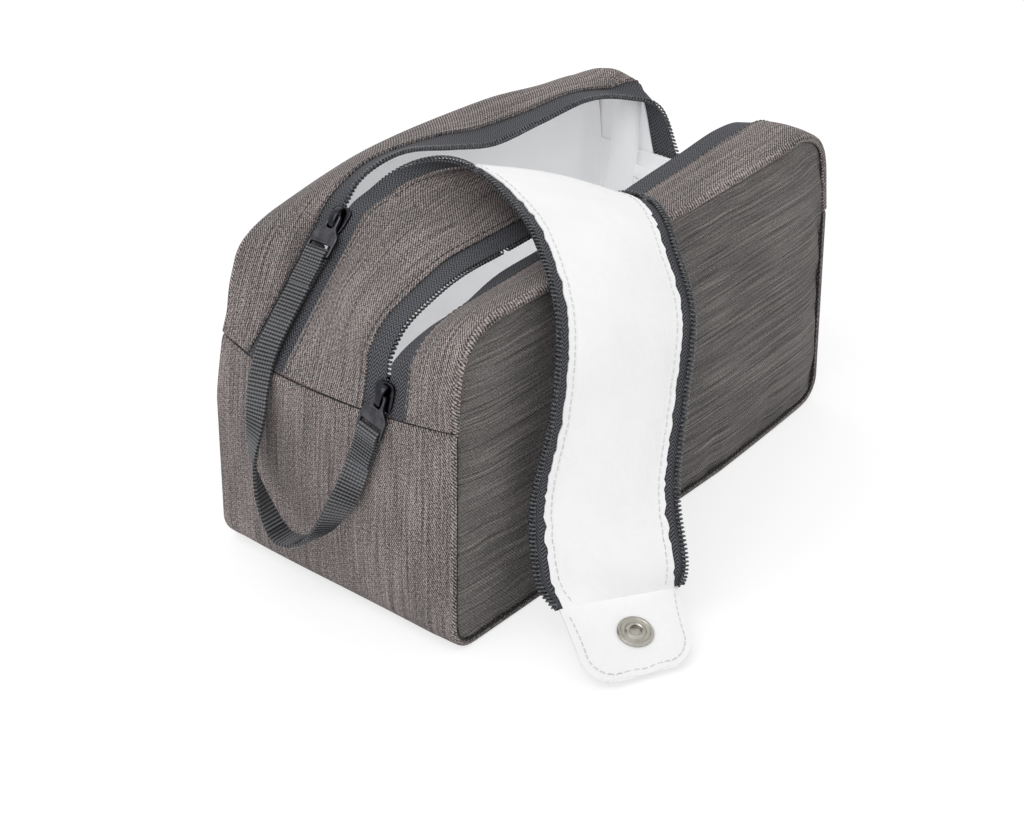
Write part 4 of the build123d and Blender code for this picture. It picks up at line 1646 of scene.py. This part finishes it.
@dataclass
class Flap:
    """The wide flap, in the stretch that stays, the arch that bends and the part that hangs."""

    crown: float = 1.6
    base_crown: float = 2.2
    arch_crown: float = -2.5
    lining_reach: float = 0.45  # share of the way from the cloth's edge to the coil
    lining_flare: float = 0.3  # more of it, at the crease
    stitch_share: float = 0.055
    pale_stitch_radius: float = 0.2
    arch_low: Point = (-51.9, -27.0, 131.0)
    arch_high: Point = (-44.9, -7.0, 154.5)
    arch_way: Point = (0.6, -0.1, 0.6)

    def cloth_rails(self) -> tuple[list[Point], list[Point]]:
        """Where the cloth is sewn to the two tapes: level across the zip on its straight run.

        Returns:
            The rear rail and the front rail.
        """
        found = []
        for rail, across, count in (
            (FLAP_REAR_RAIL, FLAP_FRONT_RAIL, len(REAR_SHARES)),
            (FLAP_FRONT_RAIL, FLAP_REAR_RAIL, len(FRONT_SHARES)),
        ):
            edge = []
            for i, (point, other) in enumerate(zip(np.array(rail), np.array(across))):
                past = min(1.0, max(0.0, i - (count - 1)) / 2)
                flat = np.array([0.0, -1.0 if other[1] < point[1] else 1.0, 0.0])
                way = unit(flat * (1 - past) + unit(other - point) * past)
                edge.append(tuple(point + way * CLOTH_MARGIN))
            found.append(edge)
        return found[0], found[1]

    def dome(self, stations: Array, share: Array) -> Array:
        """How far the cloth stands up between its zips, in millimetres."""
        along = np.clip(stations / 1.5, 0, 1) * np.clip((17 - stations) / 1.0, 0, 1)
        base = self.base_crown * hump(stations - 4.0, 2.6)
        arch = self.arch_crown * hump(stations - 8.5, 2.2)
        hanging = -self.crown * np.clip((stations - 10.5) / 2, 0, 1)
        waves = 0.35 * np.sin(stations * 2.3 + 3 * share)
        waves = waves + 0.25 * np.sin(stations * 5.1 - 2 * share)
        return (base + arch + hanging + waves) * along * (1 - (2 * share - 1) ** 2)

    def build(self, finishes: Wardrobe) -> None:
        """Adds the three stretches with their zips and stitching."""
        low, way = np.array(self.arch_low), unit(np.array(self.arch_way))
        reach = float(np.dot(np.array(self.arch_high) - low, way))
        bend = Bend(Body.BAG, Body.FLAP, low, low + way * reach)
        last = len(FLAP_REAR_RAIL) - 1.0
        self.add_stretch("base", 0.0, ARCH_START, Body.BAG, "stretched", finishes)
        self.add_stretch("arch", ARCH_START, ARCH_END, bend, "stretched", finishes)
        self.add_stretch("drop", ARCH_END, last, Body.FLAP, "hung", finishes)

    def lined(self, cloth: Patch) -> tuple[Array, Array]:
        """The lining's grid and normals: wider than the cloth, it covers part of both tapes.

        Args:
            cloth: the same stretch of the outer cloth.

        Returns:
            The grid and its normals.
        """
        flare = np.clip((cloth.stations - 15.4) / 1.6, 0, 1) ** 2
        reach = self.lining_reach + self.lining_flare * flare
        gone = distances(cloth.middle, 0)[:, 0]
        inside = np.clip(np.minimum(gone, gone[-1] - gone) / 8, 0, 1)
        reach = reach + 0.05 * inside * (ripples(61, gone, 8.0) + 0.6 * ripples(62, gone, 3.5))
        sides = []
        for rail, column in ((FLAP_REAR_RAIL, 0), (FLAP_FRONT_RAIL, -1)):
            edge = cloth.middle[:, column]
            past = edge + (curve_at(rail, cloth.stations) - edge) * reach[:, None]
            sides.append(past[:, None])
        grid = np.concatenate([sides[0], cloth.middle, sides[1]], axis=1)
        return grid, outward(grid)

    def add_stretch(
        self,
        part: str,
        first: float,
        end: float,
        where: Body | Bend,
        held: str,
        finishes: Wardrobe,
    ) -> None:
        """Adds one stretch: cloth, lining, both half zips and the stitching.

        Args:
            part: the stretch's name.
            first: its first station on the flap's rails.
            end: its last station.
            where: what it rides on.
            held: how its cloth is held.
            finishes: the bag's finishes.
        """
        stem = f"flap_{part}"
        rear, front = self.cloth_rails()
        cloth = Patch(rear, front, first, end, 23, 2.0, self.dome, 0.1, 0.1)
        grids = (cloth.middle, cloth.normals)
        lay(f"{stem}_cloth", grids, OUTER, finishes.cloth, where, f"{stem}_outer", held=held)
        under, out_of = lined = self.lined(cloth)
        node = f"{stem}_lining"
        lay(f"{node}_sheet", lined, INNER, finishes.flap_lining, where, node, held=held)
        for side, coil_rail, cloth_rail, share, edge, column in (
            ("rear", FLAP_REAR_RAIL, rear, self.stitch_share, 0, 1),
            ("front", FLAP_FRONT_RAIL, front, 1 - self.stitch_share, -1, -2),
        ):
            seam_stem = f"{stem}_{side}"
            half_zip = HalfZip(
                seam_stem, coil_rail, cloth_rail, side == "front", first, end, 2.0, phase=0.5
            )
            half_zip.build(finishes, where, held)
            out = out_of[:, column]
            path = under[:, column] - out * UNDER + (under[:, edge] - under[:, column]) * 0.35
            name, radius = f"{seam_stem}_stitches", self.pale_stitch_radius
            settle(stitch_line(name, path, -out, finishes.pale_thread, radius=radius), where)
            line = cloth.line(share, SKIN)
            thread = stitch_line(f"{seam_stem}_topstitch", *line, finishes.dark_thread)
            settle(thread, where)


def placed(origin: Sequence[float], x: Any, y: Any, z: Any) -> Matrix:
    """The matrix of a place and its three directions."""
    turn = Matrix((Vector(x), Vector(y), Vector(z))).transposed().to_4x4()
    return Matrix.Translation(Vector(origin)) @ turn


def in_place(points: Array, place: Matrix) -> Array:
    """Points along a place's own directions, as points of the bag."""
    return points @ np.array(place.to_3x3()).T + np.array(place.translation)


def lathe(
    name: str, profile: Sequence[tuple[float, float]], place: Matrix, sides: int = 56
) -> Thing:
    """A turned piece.

    Args:
        name: the piece's name.
        profile: closed outline of radius and height in millimetres. A radius of 0 is on the axis.
        place: the axis's place, its Z along the axis.
        sides: flats round it.

    Returns:
        The object.
    """
    angle = np.linspace(0, 2 * math.pi, sides, endpoint=False)
    rings = [
        np.stack([r * np.cos(angle), r * np.sin(angle), np.full(sides, h)], axis=-1)
        for r, h in profile
    ]
    faces = []
    for k, (radius, _) in enumerate(profile):
        n = (k + 1) % len(profile)
        if radius == 0 and profile[n][0] == 0:
            continue
        for j in range(sides):
            m = (j + 1) % sides
            faces.append((k * sides + j, k * sides + m, n * sides + m, n * sides + j))
    points = in_place(np.vstack(rings), place)
    return weld(mesh_object(name, points, faces, sharp=35, soft=False))


def press(
    node: str, profile: Sequence[tuple[float, float]], place: Matrix, finishes: Wardrobe, body: Body
) -> None:
    """Adds a pressed piece of the snap in place of its CAD node."""
    settle(dress(lathe(f"{node}_pressed", profile, place), finishes.snap), body, node)


@dataclass
class Tab:
    """The snap tab past the flap's crease."""

    width: float = 47.0
    length: float = 37.0
    corner: float = 13.0
    tip_height: float = 2.0
    snap_from_crease: float = 17.8
    snap_aside: float = 0.4
    snap_radius: float = 7.2
    stitch_inset: float = 2.6
    stitch_radius: float = 0.2
    curl: float = 0.66
    wave: float = 0.35
    taper: float = 0.15
    lean: float = 1.9

    def plane(self) -> Matrix:
        """The tab's own plane: X along it, Y across it, Z out of its outer face."""
        a, b = np.array(FLAP_REAR_RAIL[-1]), np.array(FLAP_FRONT_RAIL[-1])
        middle = (a + b) / 2
        across = unit(b - a)
        flat = unit(np.cross(across, [0, 0, 1]))
        sine = (middle[2] - self.tip_height) / self.length
        along = flat * math.sqrt(1 - sine**2) - np.array([0, 0, sine])
        z = np.cross(across, along)
        return placed(middle, along, np.cross(z, along), z)

    def grid(self) -> tuple[Array, Array]:
        """The tab's grid and its normals, with a soft curl and its tip leaning aside."""
        bend = self.length - self.corner
        tip = bend + self.corner * np.sin(np.linspace(0.12, math.pi / 2, 12))
        u = np.concatenate([np.linspace(0.1, bend, 16), tip])
        past = np.clip(u - bend, 0, self.corner)
        half = self.width / 2 - self.corner + np.sqrt(np.maximum(self.corner**2 - past**2, 0))
        v = np.linspace(-1, 1, 25)[None]
        gone = (u / self.length)[:, None]
        narrow = 1 + 0.03 * (1 - gone) ** 4 - self.taper * gone
        y = half[:, None] * v * narrow - 0.2 + self.lean * gone
        wave = self.wave * np.sin(u / 7.0)[:, None] * np.abs(v) ** 2
        z = -self.curl * (1 - np.cos(v * 1.9)) * gone + wave
        plane = self.plane()
        grid = np.stack([np.broadcast_to(u[:, None], y.shape), y, z], axis=-1)
        grid = in_place(grid.reshape(-1, 3), plane).reshape(grid.shape)
        return grid, facing(outward(grid), np.array(plane.to_3x3())[:, 2])

    def build(self, finishes: Wardrobe) -> None:
        """Adds both cloths, the topstitch and the snap."""
        grids = middle, normals = self.grid()
        cloth = (middle[:-4, 1:-1], normals[:-4, 1:-1])
        hung: dict[str, Any] = {"held": "hung", "cut": middle}
        lay("tab_cloth", cloth, (0.0, 0.7), finishes.cloth, Body.TAB, "tab_outer", **hung)
        layer = (-UNDER, -0.1)
        lay("tab_lining_sheet", grids, layer, finishes.flap_lining, Body.TAB, "tab_lining", **hung)
        rows, columns = middle.shape[:2]
        rim = [(i, 0) for i in range(1, rows - 1)] + [(-1, j) for j in range(1, columns - 1)]
        rim += [(i, -1) for i in range(rows - 2, 0, -1)]
        path, out = (np.array([grid[at] for at in rim]) for grid in grids)
        path = path + unit(middle[rows // 2 - 4, columns // 2] - path) * self.stitch_inset
        path = path - out * UNDER
        radius = self.stitch_radius
        thread = stitch_line("tab_stitches", path, -out, finishes.pale_thread, radius=radius)
        settle(thread, Body.TAB)
        self.add_snap(finishes)

    def add_snap(self, finishes: Wardrobe) -> None:
        """The snap's socket on the lining and its cap on the outer cloth."""
        place = self.plane() @ Matrix.Translation((self.snap_from_crease, self.snap_aside, 0))
        r, z = self.snap_radius, -UNDER - LAYER
        socket = [
            (2.3, z), (r - 0.5, z), (r, z - 0.35), (r, z - 0.85), (r - 0.45, z - 1.35),
            (r - 1.2, z - 1.4), (r - 1.55, z - 1.05), (4.35, z - 1.05), (4.05, z - 1.45),
            (3.6, z - 1.95), (2.9, z - 2.0), (2.45, z - 1.7), (2.3, z - 1.2),
        ]
        press("snap_socket", socket, place, finishes, Body.TAB)
        z = SKIN + LAYER
        cap = [
            (0, z - 2.4), (2.05, z - 2.4), (2.05, z), (r - 0.3, z), (r, z + 0.2), (r, z + 0.45),
            (r - 0.6, z + 0.85), (r - 2.6, z + 1.0), (0, z + 1.0),
        ]
        press("snap_cap", cap, place, finishes, Body.TAB)


def rounded(corners: Sequence[Point]) -> Array:
    """A closed outline with rounded corners.

    Args:
        corners: X, Y and radius of each corner, in millimetres.

    Returns:
        The outline's points.
    """
    found = []
    for i, (x, y, radius) in enumerate(corners):
        here = np.array([x, y])
        before = np.array(corners[i - 1][:2]) - here
        after = np.array(corners[(i + 1) % len(corners)][:2]) - here
        cut = min(radius, 0.49 * np.linalg.norm(before), 0.49 * np.linalg.norm(after))
        a, b = here + unit(before) * cut, here + unit(after) * cut
        for t in np.linspace(0, 1, 7):
            found.append(a * (1 - t) ** 2 + 2 * here * t * (1 - t) + b * t**2)
    return np.array(found)


def mirrored(corners: Sequence[Point]) -> Array:
    """A rounded outline that is the same on both sides of its X axis."""
    return rounded([*corners, *((x, -y, radius) for x, y, radius in reversed(corners))])


def casting(
    outlines: Sequence[Array], low: float, high: float, rounding: float, place: Matrix
) -> Thing:
    """A flat casting with rounded edges and holes.

    Args:
        outlines: its outline first, then its holes.
        low: its lower face along the place's Z, in millimetres.
        high: its upper face.
        rounding: radius of its edges.
        place: where it lies.

    Returns:
        The object.
    """
    curve = bpy.data.curves.new("casting", "CURVE")
    curve.dimensions, curve.fill_mode = "2D", "BOTH"
    curve.extrude = (high - low) / 2 - rounding
    curve.bevel_depth, curve.bevel_resolution, curve.offset = rounding, 3, -rounding
    for outline in outlines:
        spline = curve.splines.new("POLY")
        spline.points.add(len(outline) - 1)
        for point, (x, y) in zip(spline.points, outline):
            point.co = (x, y, 0, 1)
        spline.use_cyclic_u = True
    points, faces = mesh_of(curve)
    points = in_place(points + np.array([0, 0, (low + high) / 2]), place)
    return weld(mesh_object("casting", points, faces, sharp=38, soft=False))


def sweep(path: Array, side: Array, wide: float, thick: float, power: float = 3.0) -> Thing:
    """A bar of rounded section along a path.

    Args:
        path: its middle line in millimetres.
        side: the direction of its width, the same all along.
        wide: its width.
        thick: its thickness.
        power: how square its section is, 2 for an ellipse.

    Returns:
        The object.
    """
    along = unit(np.gradient(path, axis=0))
    out = unit(np.cross(along, side[None]))
    turn = np.linspace(0, 2 * math.pi, 20, endpoint=False)
    c = np.sign(np.cos(turn)) * np.abs(np.cos(turn)) ** (2 / power) * wide / 2
    d = np.sign(np.sin(turn)) * np.abs(np.sin(turn)) ** (2 / power) * thick / 2
    rings = path[:, None] + side[None, None] * c[None, :, None] + out[:, None] * d[None, :, None]
    faces = bar_faces(len(path), len(turn))
    return weld(mesh_object("bar", rings.reshape(-1, 3), faces, sharp=40, soft=False))


def joined(things: Sequence[Thing], name: str) -> Thing:
    """Several pieces made into one object."""
    points: list[Point] = []
    faces: Faces = []
    for thing in things:
        start = len(points)
        points += [v.co[:] for v in thing.data.vertices]
        faces += [tuple(start + i for i in f.vertices) for f in thing.data.polygons]
        bpy.data.objects.remove(thing)
    return mesh_object(name, np.array(points) / MM, faces, sharp=38, soft=False)


@dataclass(frozen=True)
class Webbing:
    """The flat strap's own sizes, in millimetres."""

    width: float = 10.0
    thickness: float = 1.2
    rib: float = 1.4
    rib_height: float = 0.2

    def lay_out(self, line: Array, wide: Array) -> tuple[Array, Array]:
        """The strap's ribbed grid and its normals.

        Args:
            line: its middle line in millimetres.
            wide: the direction of its width at each point.

        Returns:
            The grid, nine points wide, and its normals.
        """
        share = np.linspace(-0.5, 0.5, 9) * self.width
        grid = line[:, None] + wide[:, None] * share[None, :, None]
        normals = outward(grid)
        ribs = self.rib_height * np.cos(2 * math.pi * distances(line, 0) / self.rib)
        return grid + normals * ribs[:, None, None], normals


@dataclass
class ZipHardware:
    """A slider with its pull and the webbing's end sewn through the pull."""

    name: str
    slider_body: Body
    pull_body: Body
    run_top: tuple[float, float]
    y: float
    from_top: float
    tilt: float
    slider_length: float = 12.0
    pull_length: float = 16.4
    bar_width: float = 12.4
    head_width: float = 6.2
    pivot_rise: float = 3.3
    sewn_length: float = 12.0
    upper_plate: Point = (0.45, 1.85, 0.42)  # each casting's faces and the rounding of its edges
    lower_plate: Point = (-3.9, -2.7, 0.4)
    side_wall: Point = (-3.0, -0.5, 0.2)
    post: Point = (-2.9, 0.7, 0.15)
    bar: Point = (-0.85, 0.85, 0.34)
    badge: Point = (0.5, 1.1, 0.22)

    def frame_at(self) -> tuple[Array, Array, Array]:
        """The slider's middle, the direction up its zip and the direction out of the bag."""
        start = np.array([left(0), self.y, seam(0)])
        end = np.array([self.run_top[0], self.y, self.run_top[1]])
        along = unit(end - start)
        out = np.array([-along[2], 0.0, along[0]])
        middle = end - along * (self.from_top + self.slider_length / 2)
        return SOFT_END.rest(middle[None])[0], along, out

    def pull_axes(self) -> tuple[Array, Array, Array, Array]:
        """The pull's pivot and its own X, Y and Z directions."""
        middle, along, out = self.frame_at()
        tilt = math.radians(self.tilt)
        x = along * math.cos(tilt) + np.array([0, 1.0, 0]) * math.sin(tilt)
        return middle + out * self.pivot_rise, x, np.cross(out, x), out

    def strap_end(self) -> Array:
        """Where the free webbing leaves its sewn end."""
        pivot, x, _, _ = self.pull_axes()
        return pivot - x * (self.pull_length + self.sewn_length + 1.0)

    def build(self, finishes: Wardrobe) -> None:
        """Adds the slider, the pull and the sewn end."""
        slider = dress(self.make_slider(), finishes.slider)
        settle(slider, self.slider_body, f"{self.name}_slider")
        pull = dress(self.make_pull(), finishes.pull)
        settle(pull, self.pull_body, f"{self.name}_pull")
        self.sew_end(finishes)

    def make_slider(self) -> Thing:
        """Two plates with their side walls and post, and the bridge over them."""
        middle, along, out = self.frame_at()
        place = placed(middle, along, np.cross(out, along), out)
        plate = mirrored([(6.0, 2.6, 2.2), (4.4, 4.6, 1.6), (-1.5, 4.5, 2.4), (-6.0, 3.4, 1.2)])
        parts = [casting([plate], *faces, place) for faces in (self.upper_plate, self.lower_plate)]
        for s in (-1.0, 1.0):
            front = [(4.0, s * 4.5, 0.4), (-5.0, s * 3.9, 0.4)]
            wall = rounded([*front, (-5.0, s * 3.1, 0.3), (4.0, s * 3.5, 0.3)])
            parts.append(casting([wall], *self.side_wall, place))
        post = mirrored([(5.4, 0.5, 0.3), (2.4, 0.2, 0.2)])
        parts.append(casting([post], *self.post, place))
        turn = np.linspace(0, math.pi, 25)
        _, x, y, _ = self.pull_axes()
        arc = np.array([4.4 * np.cos(turn) + 0.3, 3.6 * np.sin(turn) ** 0.75 + 1.35]).T
        parts.append(sweep(middle + x * arc[:, :1] + out * arc[:, 1:], y, 3.1, 1.3))
        return joined(parts, f"{self.name}_slider_cast")

    def make_pull(self) -> Thing:
        """The pull: an eye round the bridge, a shoulder and a slotted bar, cast in one."""
        place = placed(*self.pull_axes())
        h, w, end = self.head_width / 2, self.bar_width / 2, self.pull_length
        outline = mirrored([(1.3, h - 0.5, 1.3), (-4.6, h, 1.6), (-7.6, w, 1.6), (-end, w, 0.9)])
        eye = mirrored([(-0.2, 1.7, 0.8), (-4.7, 1.8, 1.4)])
        slot = mirrored([(-end + 4.9, 5.2, 0.6), (-end + 2.1, 5.2, 0.6)])
        raised = mirrored([(-6.0, 3.4, 1.2), (-8.6, 4.9, 1.0), (-10.4, 4.9, 0.8)])
        body = casting([outline, eye, slot], *self.bar, place)
        badge = casting([raised], *self.badge, place)
        return joined([body, badge], f"{self.name}_pull_cast")

    def sew_end(self, finishes: Wardrobe) -> None:
        """The webbing's end: round the pull's lower bar and sewn to itself."""
        pivot, x, y, z = self.pull_axes()
        bar = -(self.pull_length - 1.05)
        away = 1.45  # from the strap's middle line to the pull's middle plane
        back = np.linspace(-(self.pull_length + self.sewn_length + 1.2), bar, 14)
        turn = np.linspace(-math.pi / 2, math.pi / 2, 9)[1:-1]
        pinch = np.clip(0.42 + (back + self.pull_length + 4.5) / 7, 0.42, 1.0)
        line = [(u, -away * k) for u, k in zip(back, pinch)]
        line += [(bar + 1.75 * math.cos(a), away * math.sin(a)) for a in turn]
        line += [(u, away * k) for u, k in zip(back[::-1], pinch[::-1])]
        gone = distances(np.array(line), 0)
        even = sample(np.array(line), gone, np.linspace(0, 1, 90) * gone[-1])
        centre = pivot + x * even[:, :1] + z * even[:, 1:]
        grids = Webbing().lay_out(centre, np.broadcast_to(y, centre.shape))
        strap = shell(f"{self.name}_webbing_end", *grids, -0.5, 0.5, soft=False)
        bend = Bend(self.slider_body, self.pull_body, self.strap_end(), pivot + x * (bar - 2.5))
        settle(dress(strap, finishes.webbing), bend, f"{self.name}_loop_end")


@dataclass
class WebbingLoop:
    """The flat webbing that hangs from the two pulls, in two halves that meet at the bottom."""

    rear: ZipHardware
    front: ZipHardware
    lowest: Point = (left(-16.6), REAR_ZIP_Y - 20.4, seam(-67.3))
    turn_height: float = 50.0
    step: float = 0.35
    rows_aside: int = 18  # the halves meet just to the rear of the lowest point

    def route(self) -> list[Point]:
        """The loop's points from the rear sewn end to the front one."""
        return [
            tuple(self.rear.strap_end()),
            (left(8.5), REAR_ZIP_Y - 0.2, seam(13)),
            (left(-0.5), REAR_ZIP_Y - 0.5, seam(4)),
            (left(-7.5), REAR_ZIP_Y - 2, seam(-7)),
            (left(-11.7), REAR_ZIP_Y - 3.6, seam(-20.5)),
            (left(-13.9), REAR_ZIP_Y - 2.6, seam(-37)),
            (left(-15.7), REAR_ZIP_Y - 7.2, seam(-49.5)),
            (left(-16.4), REAR_ZIP_Y - 13.9, seam(-60.8)),
            self.lowest,
            (left(-16.4), FRONT_ZIP_Y + 27.6, seam(-62.8)),
            (left(-15.6), FRONT_ZIP_Y + 19.1, seam(-52.8)),
            (left(-14.1), FRONT_ZIP_Y + 13.1, seam(-42.3)),
            (left(-11.4), FRONT_ZIP_Y + 9.2, seam(-31.8)),
            tuple(self.front.strap_end()),
        ]

    def line(self) -> Array:
        """The loop's smooth line, read from a NURBS spline with the route's points."""
        curve = bpy.data.curves.new("webbing_route", "CURVE")
        curve.dimensions = "3D"
        curve.resolution_u = 24
        spline = curve.splines.new("NURBS")
        points = self.route()
        spline.points.add(len(points) - 1)
        for place, point in zip(spline.points, points):
            place.co = (*point, 1.0)
        spline.order_u = 3
        spline.use_endpoint_u = True
        found, _ = mesh_of(curve)
        gone = distances(found, 0)
        return sample(found, gone, np.linspace(0, gone[-1], int(gone[-1] / self.step)))

    def build(self, finishes: Wardrobe) -> None:
        line = self.line()
        along = unit(np.gradient(line, axis=0))
        turn = math.pi / 2 * np.clip((line[:, 2] - self.lowest[2]) / self.turn_height, 0, 1)
        towards = np.where(line[:, 1] > self.lowest[1], 1.0, -1.0)
        wide = np.stack([np.cos(turn), towards * np.sin(turn), np.zeros_like(turn)], axis=-1)
        wide = unit(wide - along * (wide * along).sum(-1, keepdims=True))
        for _ in range(60):
            wide[1:-1] = unit(wide[:-2] + wide[1:-1] * 2 + wide[2:])
        strap = Webbing()
        grid, normals = strap.lay_out(line, wide)
        gone = distances(line, 0)
        width = np.linspace(0, strap.width, grid.shape[1])
        uv = np.stack(np.broadcast_arrays(width[None], gone[:, None]), -1) * MM
        log.info("webbing loop: %.1f mm between its sewn ends", gone[-1])
        meet = int(np.argmin(line[:, 2])) - self.rows_aside
        half = strap.thickness / 2
        for side, rows, body, order in (
            ("rear", slice(0, meet + 2), Body.REAR_SLIDER, 1),
            ("front", slice(meet - 1, len(line)), Body.FRONT_SLIDER, -1),
        ):
            part = line[rows][::order]
            name = f"{side}_webbing"
            thing = shell(name, grid[rows], normals[rows], -half, half, uv[rows], False)
            bend = Bend(Body.BAG, body, part[-1], part[len(part) // 8])
            settle(dress(thing, finishes.webbing), bend, f"{side}_loop_half")
            length = float(distances(part, 0)[-1])
            log.info("%s: %.1f mm long", name, length)
            tuple(part[0] * MM)
            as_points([tuple(p) for p in part[::8] * MM] + [tuple(part[-1] * MM)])


@dataclass
class EndPocket:
    """The flat pocket sewn to the right end's lining."""

    wall_x: float = 121.9
    stand_off: float = 6.5
    half_width: float = 42.0
    floor: float = 22.0
    height: float = 66.0
    hem: float = 9.0
    hem_lift: float = 0.55

    def build(self, finishes: Wardrobe) -> None:
        """Adds the pocket, its hem and its stitching."""
        v = np.linspace(-1, 1, 41)[None]
        w = np.linspace(0, 1, 25)[:, None]
        y, z = np.broadcast_arrays(self.half_width * v, self.floor + self.height * w)
        swell = (1 - np.abs(v) ** 6) * np.clip(w * 6, 0, 1)
        x = self.wall_x - 0.3 - (self.stand_off - 0.6) * swell
        x = x + 0.35 * ripples(51, y + 0.3 * z, 24.0) * swell
        middle = np.stack([x, y, z], axis=-1)
        normals = outward(middle)
        normals *= -np.sign(normals[..., :1] + 1e-9)
        grids = (middle, normals)
        lay("end_pocket_cloth", grids, THIN, finishes.lining, Body.BAG, "inner_pocket")
        rows = w[:, 0] >= 1 - self.hem / self.height - 0.02
        front, lift = middle[rows], normals[rows]
        over = [
            front[-1] + lift[-1] * 0.4 * math.cos(a) + [0, 0, 0.4 * math.sin(a)]
            for a in (0.8, 1.6, 2.4)
        ]
        raised = lift * self.hem_lift
        fold = np.vstack([front + raised, np.array(over), (front - raised)[::-1][:3]])
        grids = (fold, -outward(fold))
        layer = (-0.2, 0.2)
        lay("end_pocket_hem", grids, layer, finishes.lining, Body.BAG, "pocket_hem", held="folded")
        path = front[1] + lift[1] * 0.8
        thread = stitch_line("end_pocket_stitches", path, lift[1], finishes.pale_thread)
        settle(thread, Body.BAG)


@dataclass
class EndFold:
    """The pleat of spare lining that stands in the right end's rear corner."""

    foot: Point = (111.0, 45.0, 40.0)
    head: Point = (117.5, 38.5, 121.0)
    width: float = 12.0
    depth: float = 5.5

    def build(self, finishes: Wardrobe) -> None:
        """Adds the pleat."""
        w = np.linspace(0, 1, 33)
        v = np.linspace(-1, 1, 25)[None]
        foot, head = np.array(self.foot), np.array(self.head)
        x, y, z = ((foot + (head - foot) * w[:, None]).T)[..., None]
        swell = (0.75 + 0.25 * np.cos(w * 5.0 + 0.6))[:, None] * (1 - v**2) ** 0.75
        wobble = 1.5 * np.sin(w * 7.5)[:, None]
        half = self.width / 2 * v
        x = x - 0.45 * half - self.depth * 0.8 * swell + wobble * 0.4
        y = y + 0.9 * half - self.depth * 0.35 * swell + wobble
        grid = np.stack(np.broadcast_arrays(x, y, z), axis=-1)
        grids = (grid, outward(grid))
        lay("end_lining_pleat", grids, THIN, finishes.lining, Body.BAG, held="gathered")


@dataclass
class EndStud:
    """The snap's stud on the right end, with its washer inside the cloth."""

    centre: Point = (125.0, 2.25, 66.0)
    radius: float = 5.5

    def build(self, finishes: Wardrobe) -> None:
        """Adds the stud and the washer."""
        place = placed(self.centre, (0, 1, 0), (0, 0, 1), (1, 0, 0))
        r = self.radius
        stud = [
            (0, -1.4), (2.0, -1.4), (2.0, 0.1), (r - 0.2, 0.1), (r, 0.3), (r - 0.2, 0.8),
            (r - 1.5, 1.1), (2.2, 1.1), (1.95, 1.5), (1.95, 1.9), (2.2, 2.4), (2.0, 2.85),
            (1.5, 3.0), (0, 3.0),
        ]
        press("snap_stud", stud, place, finishes, Body.BAG)
        washer = [(2.3, -1.9), (r, -1.9), (r, -0.95), (2.3, -0.95)]
        press("snap_washer", washer, place, finishes, Body.BAG)


def main() -> None:
    """Builds the studio and the bag."""
    logging.basicConfig(level=logging.INFO, format="%(name)s %(message)s")
    Studio().build()
    finishes = Wardrobe()
    rear = ZipHardware(
        "rear", Body.REAR_SLIDER, Body.REAR_PULL, REAR_RUN_TOP, REAR_ZIP_Y, from_top=0.5, tilt=0.0
    )
    front = ZipHardware(
        "front", Body.FRONT_SLIDER, Body.FRONT_PULL, FRONT_RUN_TOP, FRONT_ZIP_Y, 8.0, -14.0
    )
    for part in (
        WebbingLoop(rear, front),
        rear,
        front,
        SidePanel("front", FRONT_PANEL_RAIL, -1),
        SidePanel("rear", REAR_PANEL_RAIL, 1),
        Band(),
        TopStrip("rear", REAR_PANEL_RAIL, REAR_EDGE_RAIL, REAR_COIL_RAIL, True),
        TopStrip("front", FRONT_PANEL_RAIL, FRONT_EDGE_RAIL, FRONT_COIL_RAIL, False),
        Flap(),
        Tab(),
        EndPocket(),
        EndFold(),
        EndStud(),
    ):
        part.build(finishes)
    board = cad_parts["base_board"]
    board.data.materials.clear()
    board.data.materials.append(finishes.board[0])


if __name__ == "__main__":
    main()
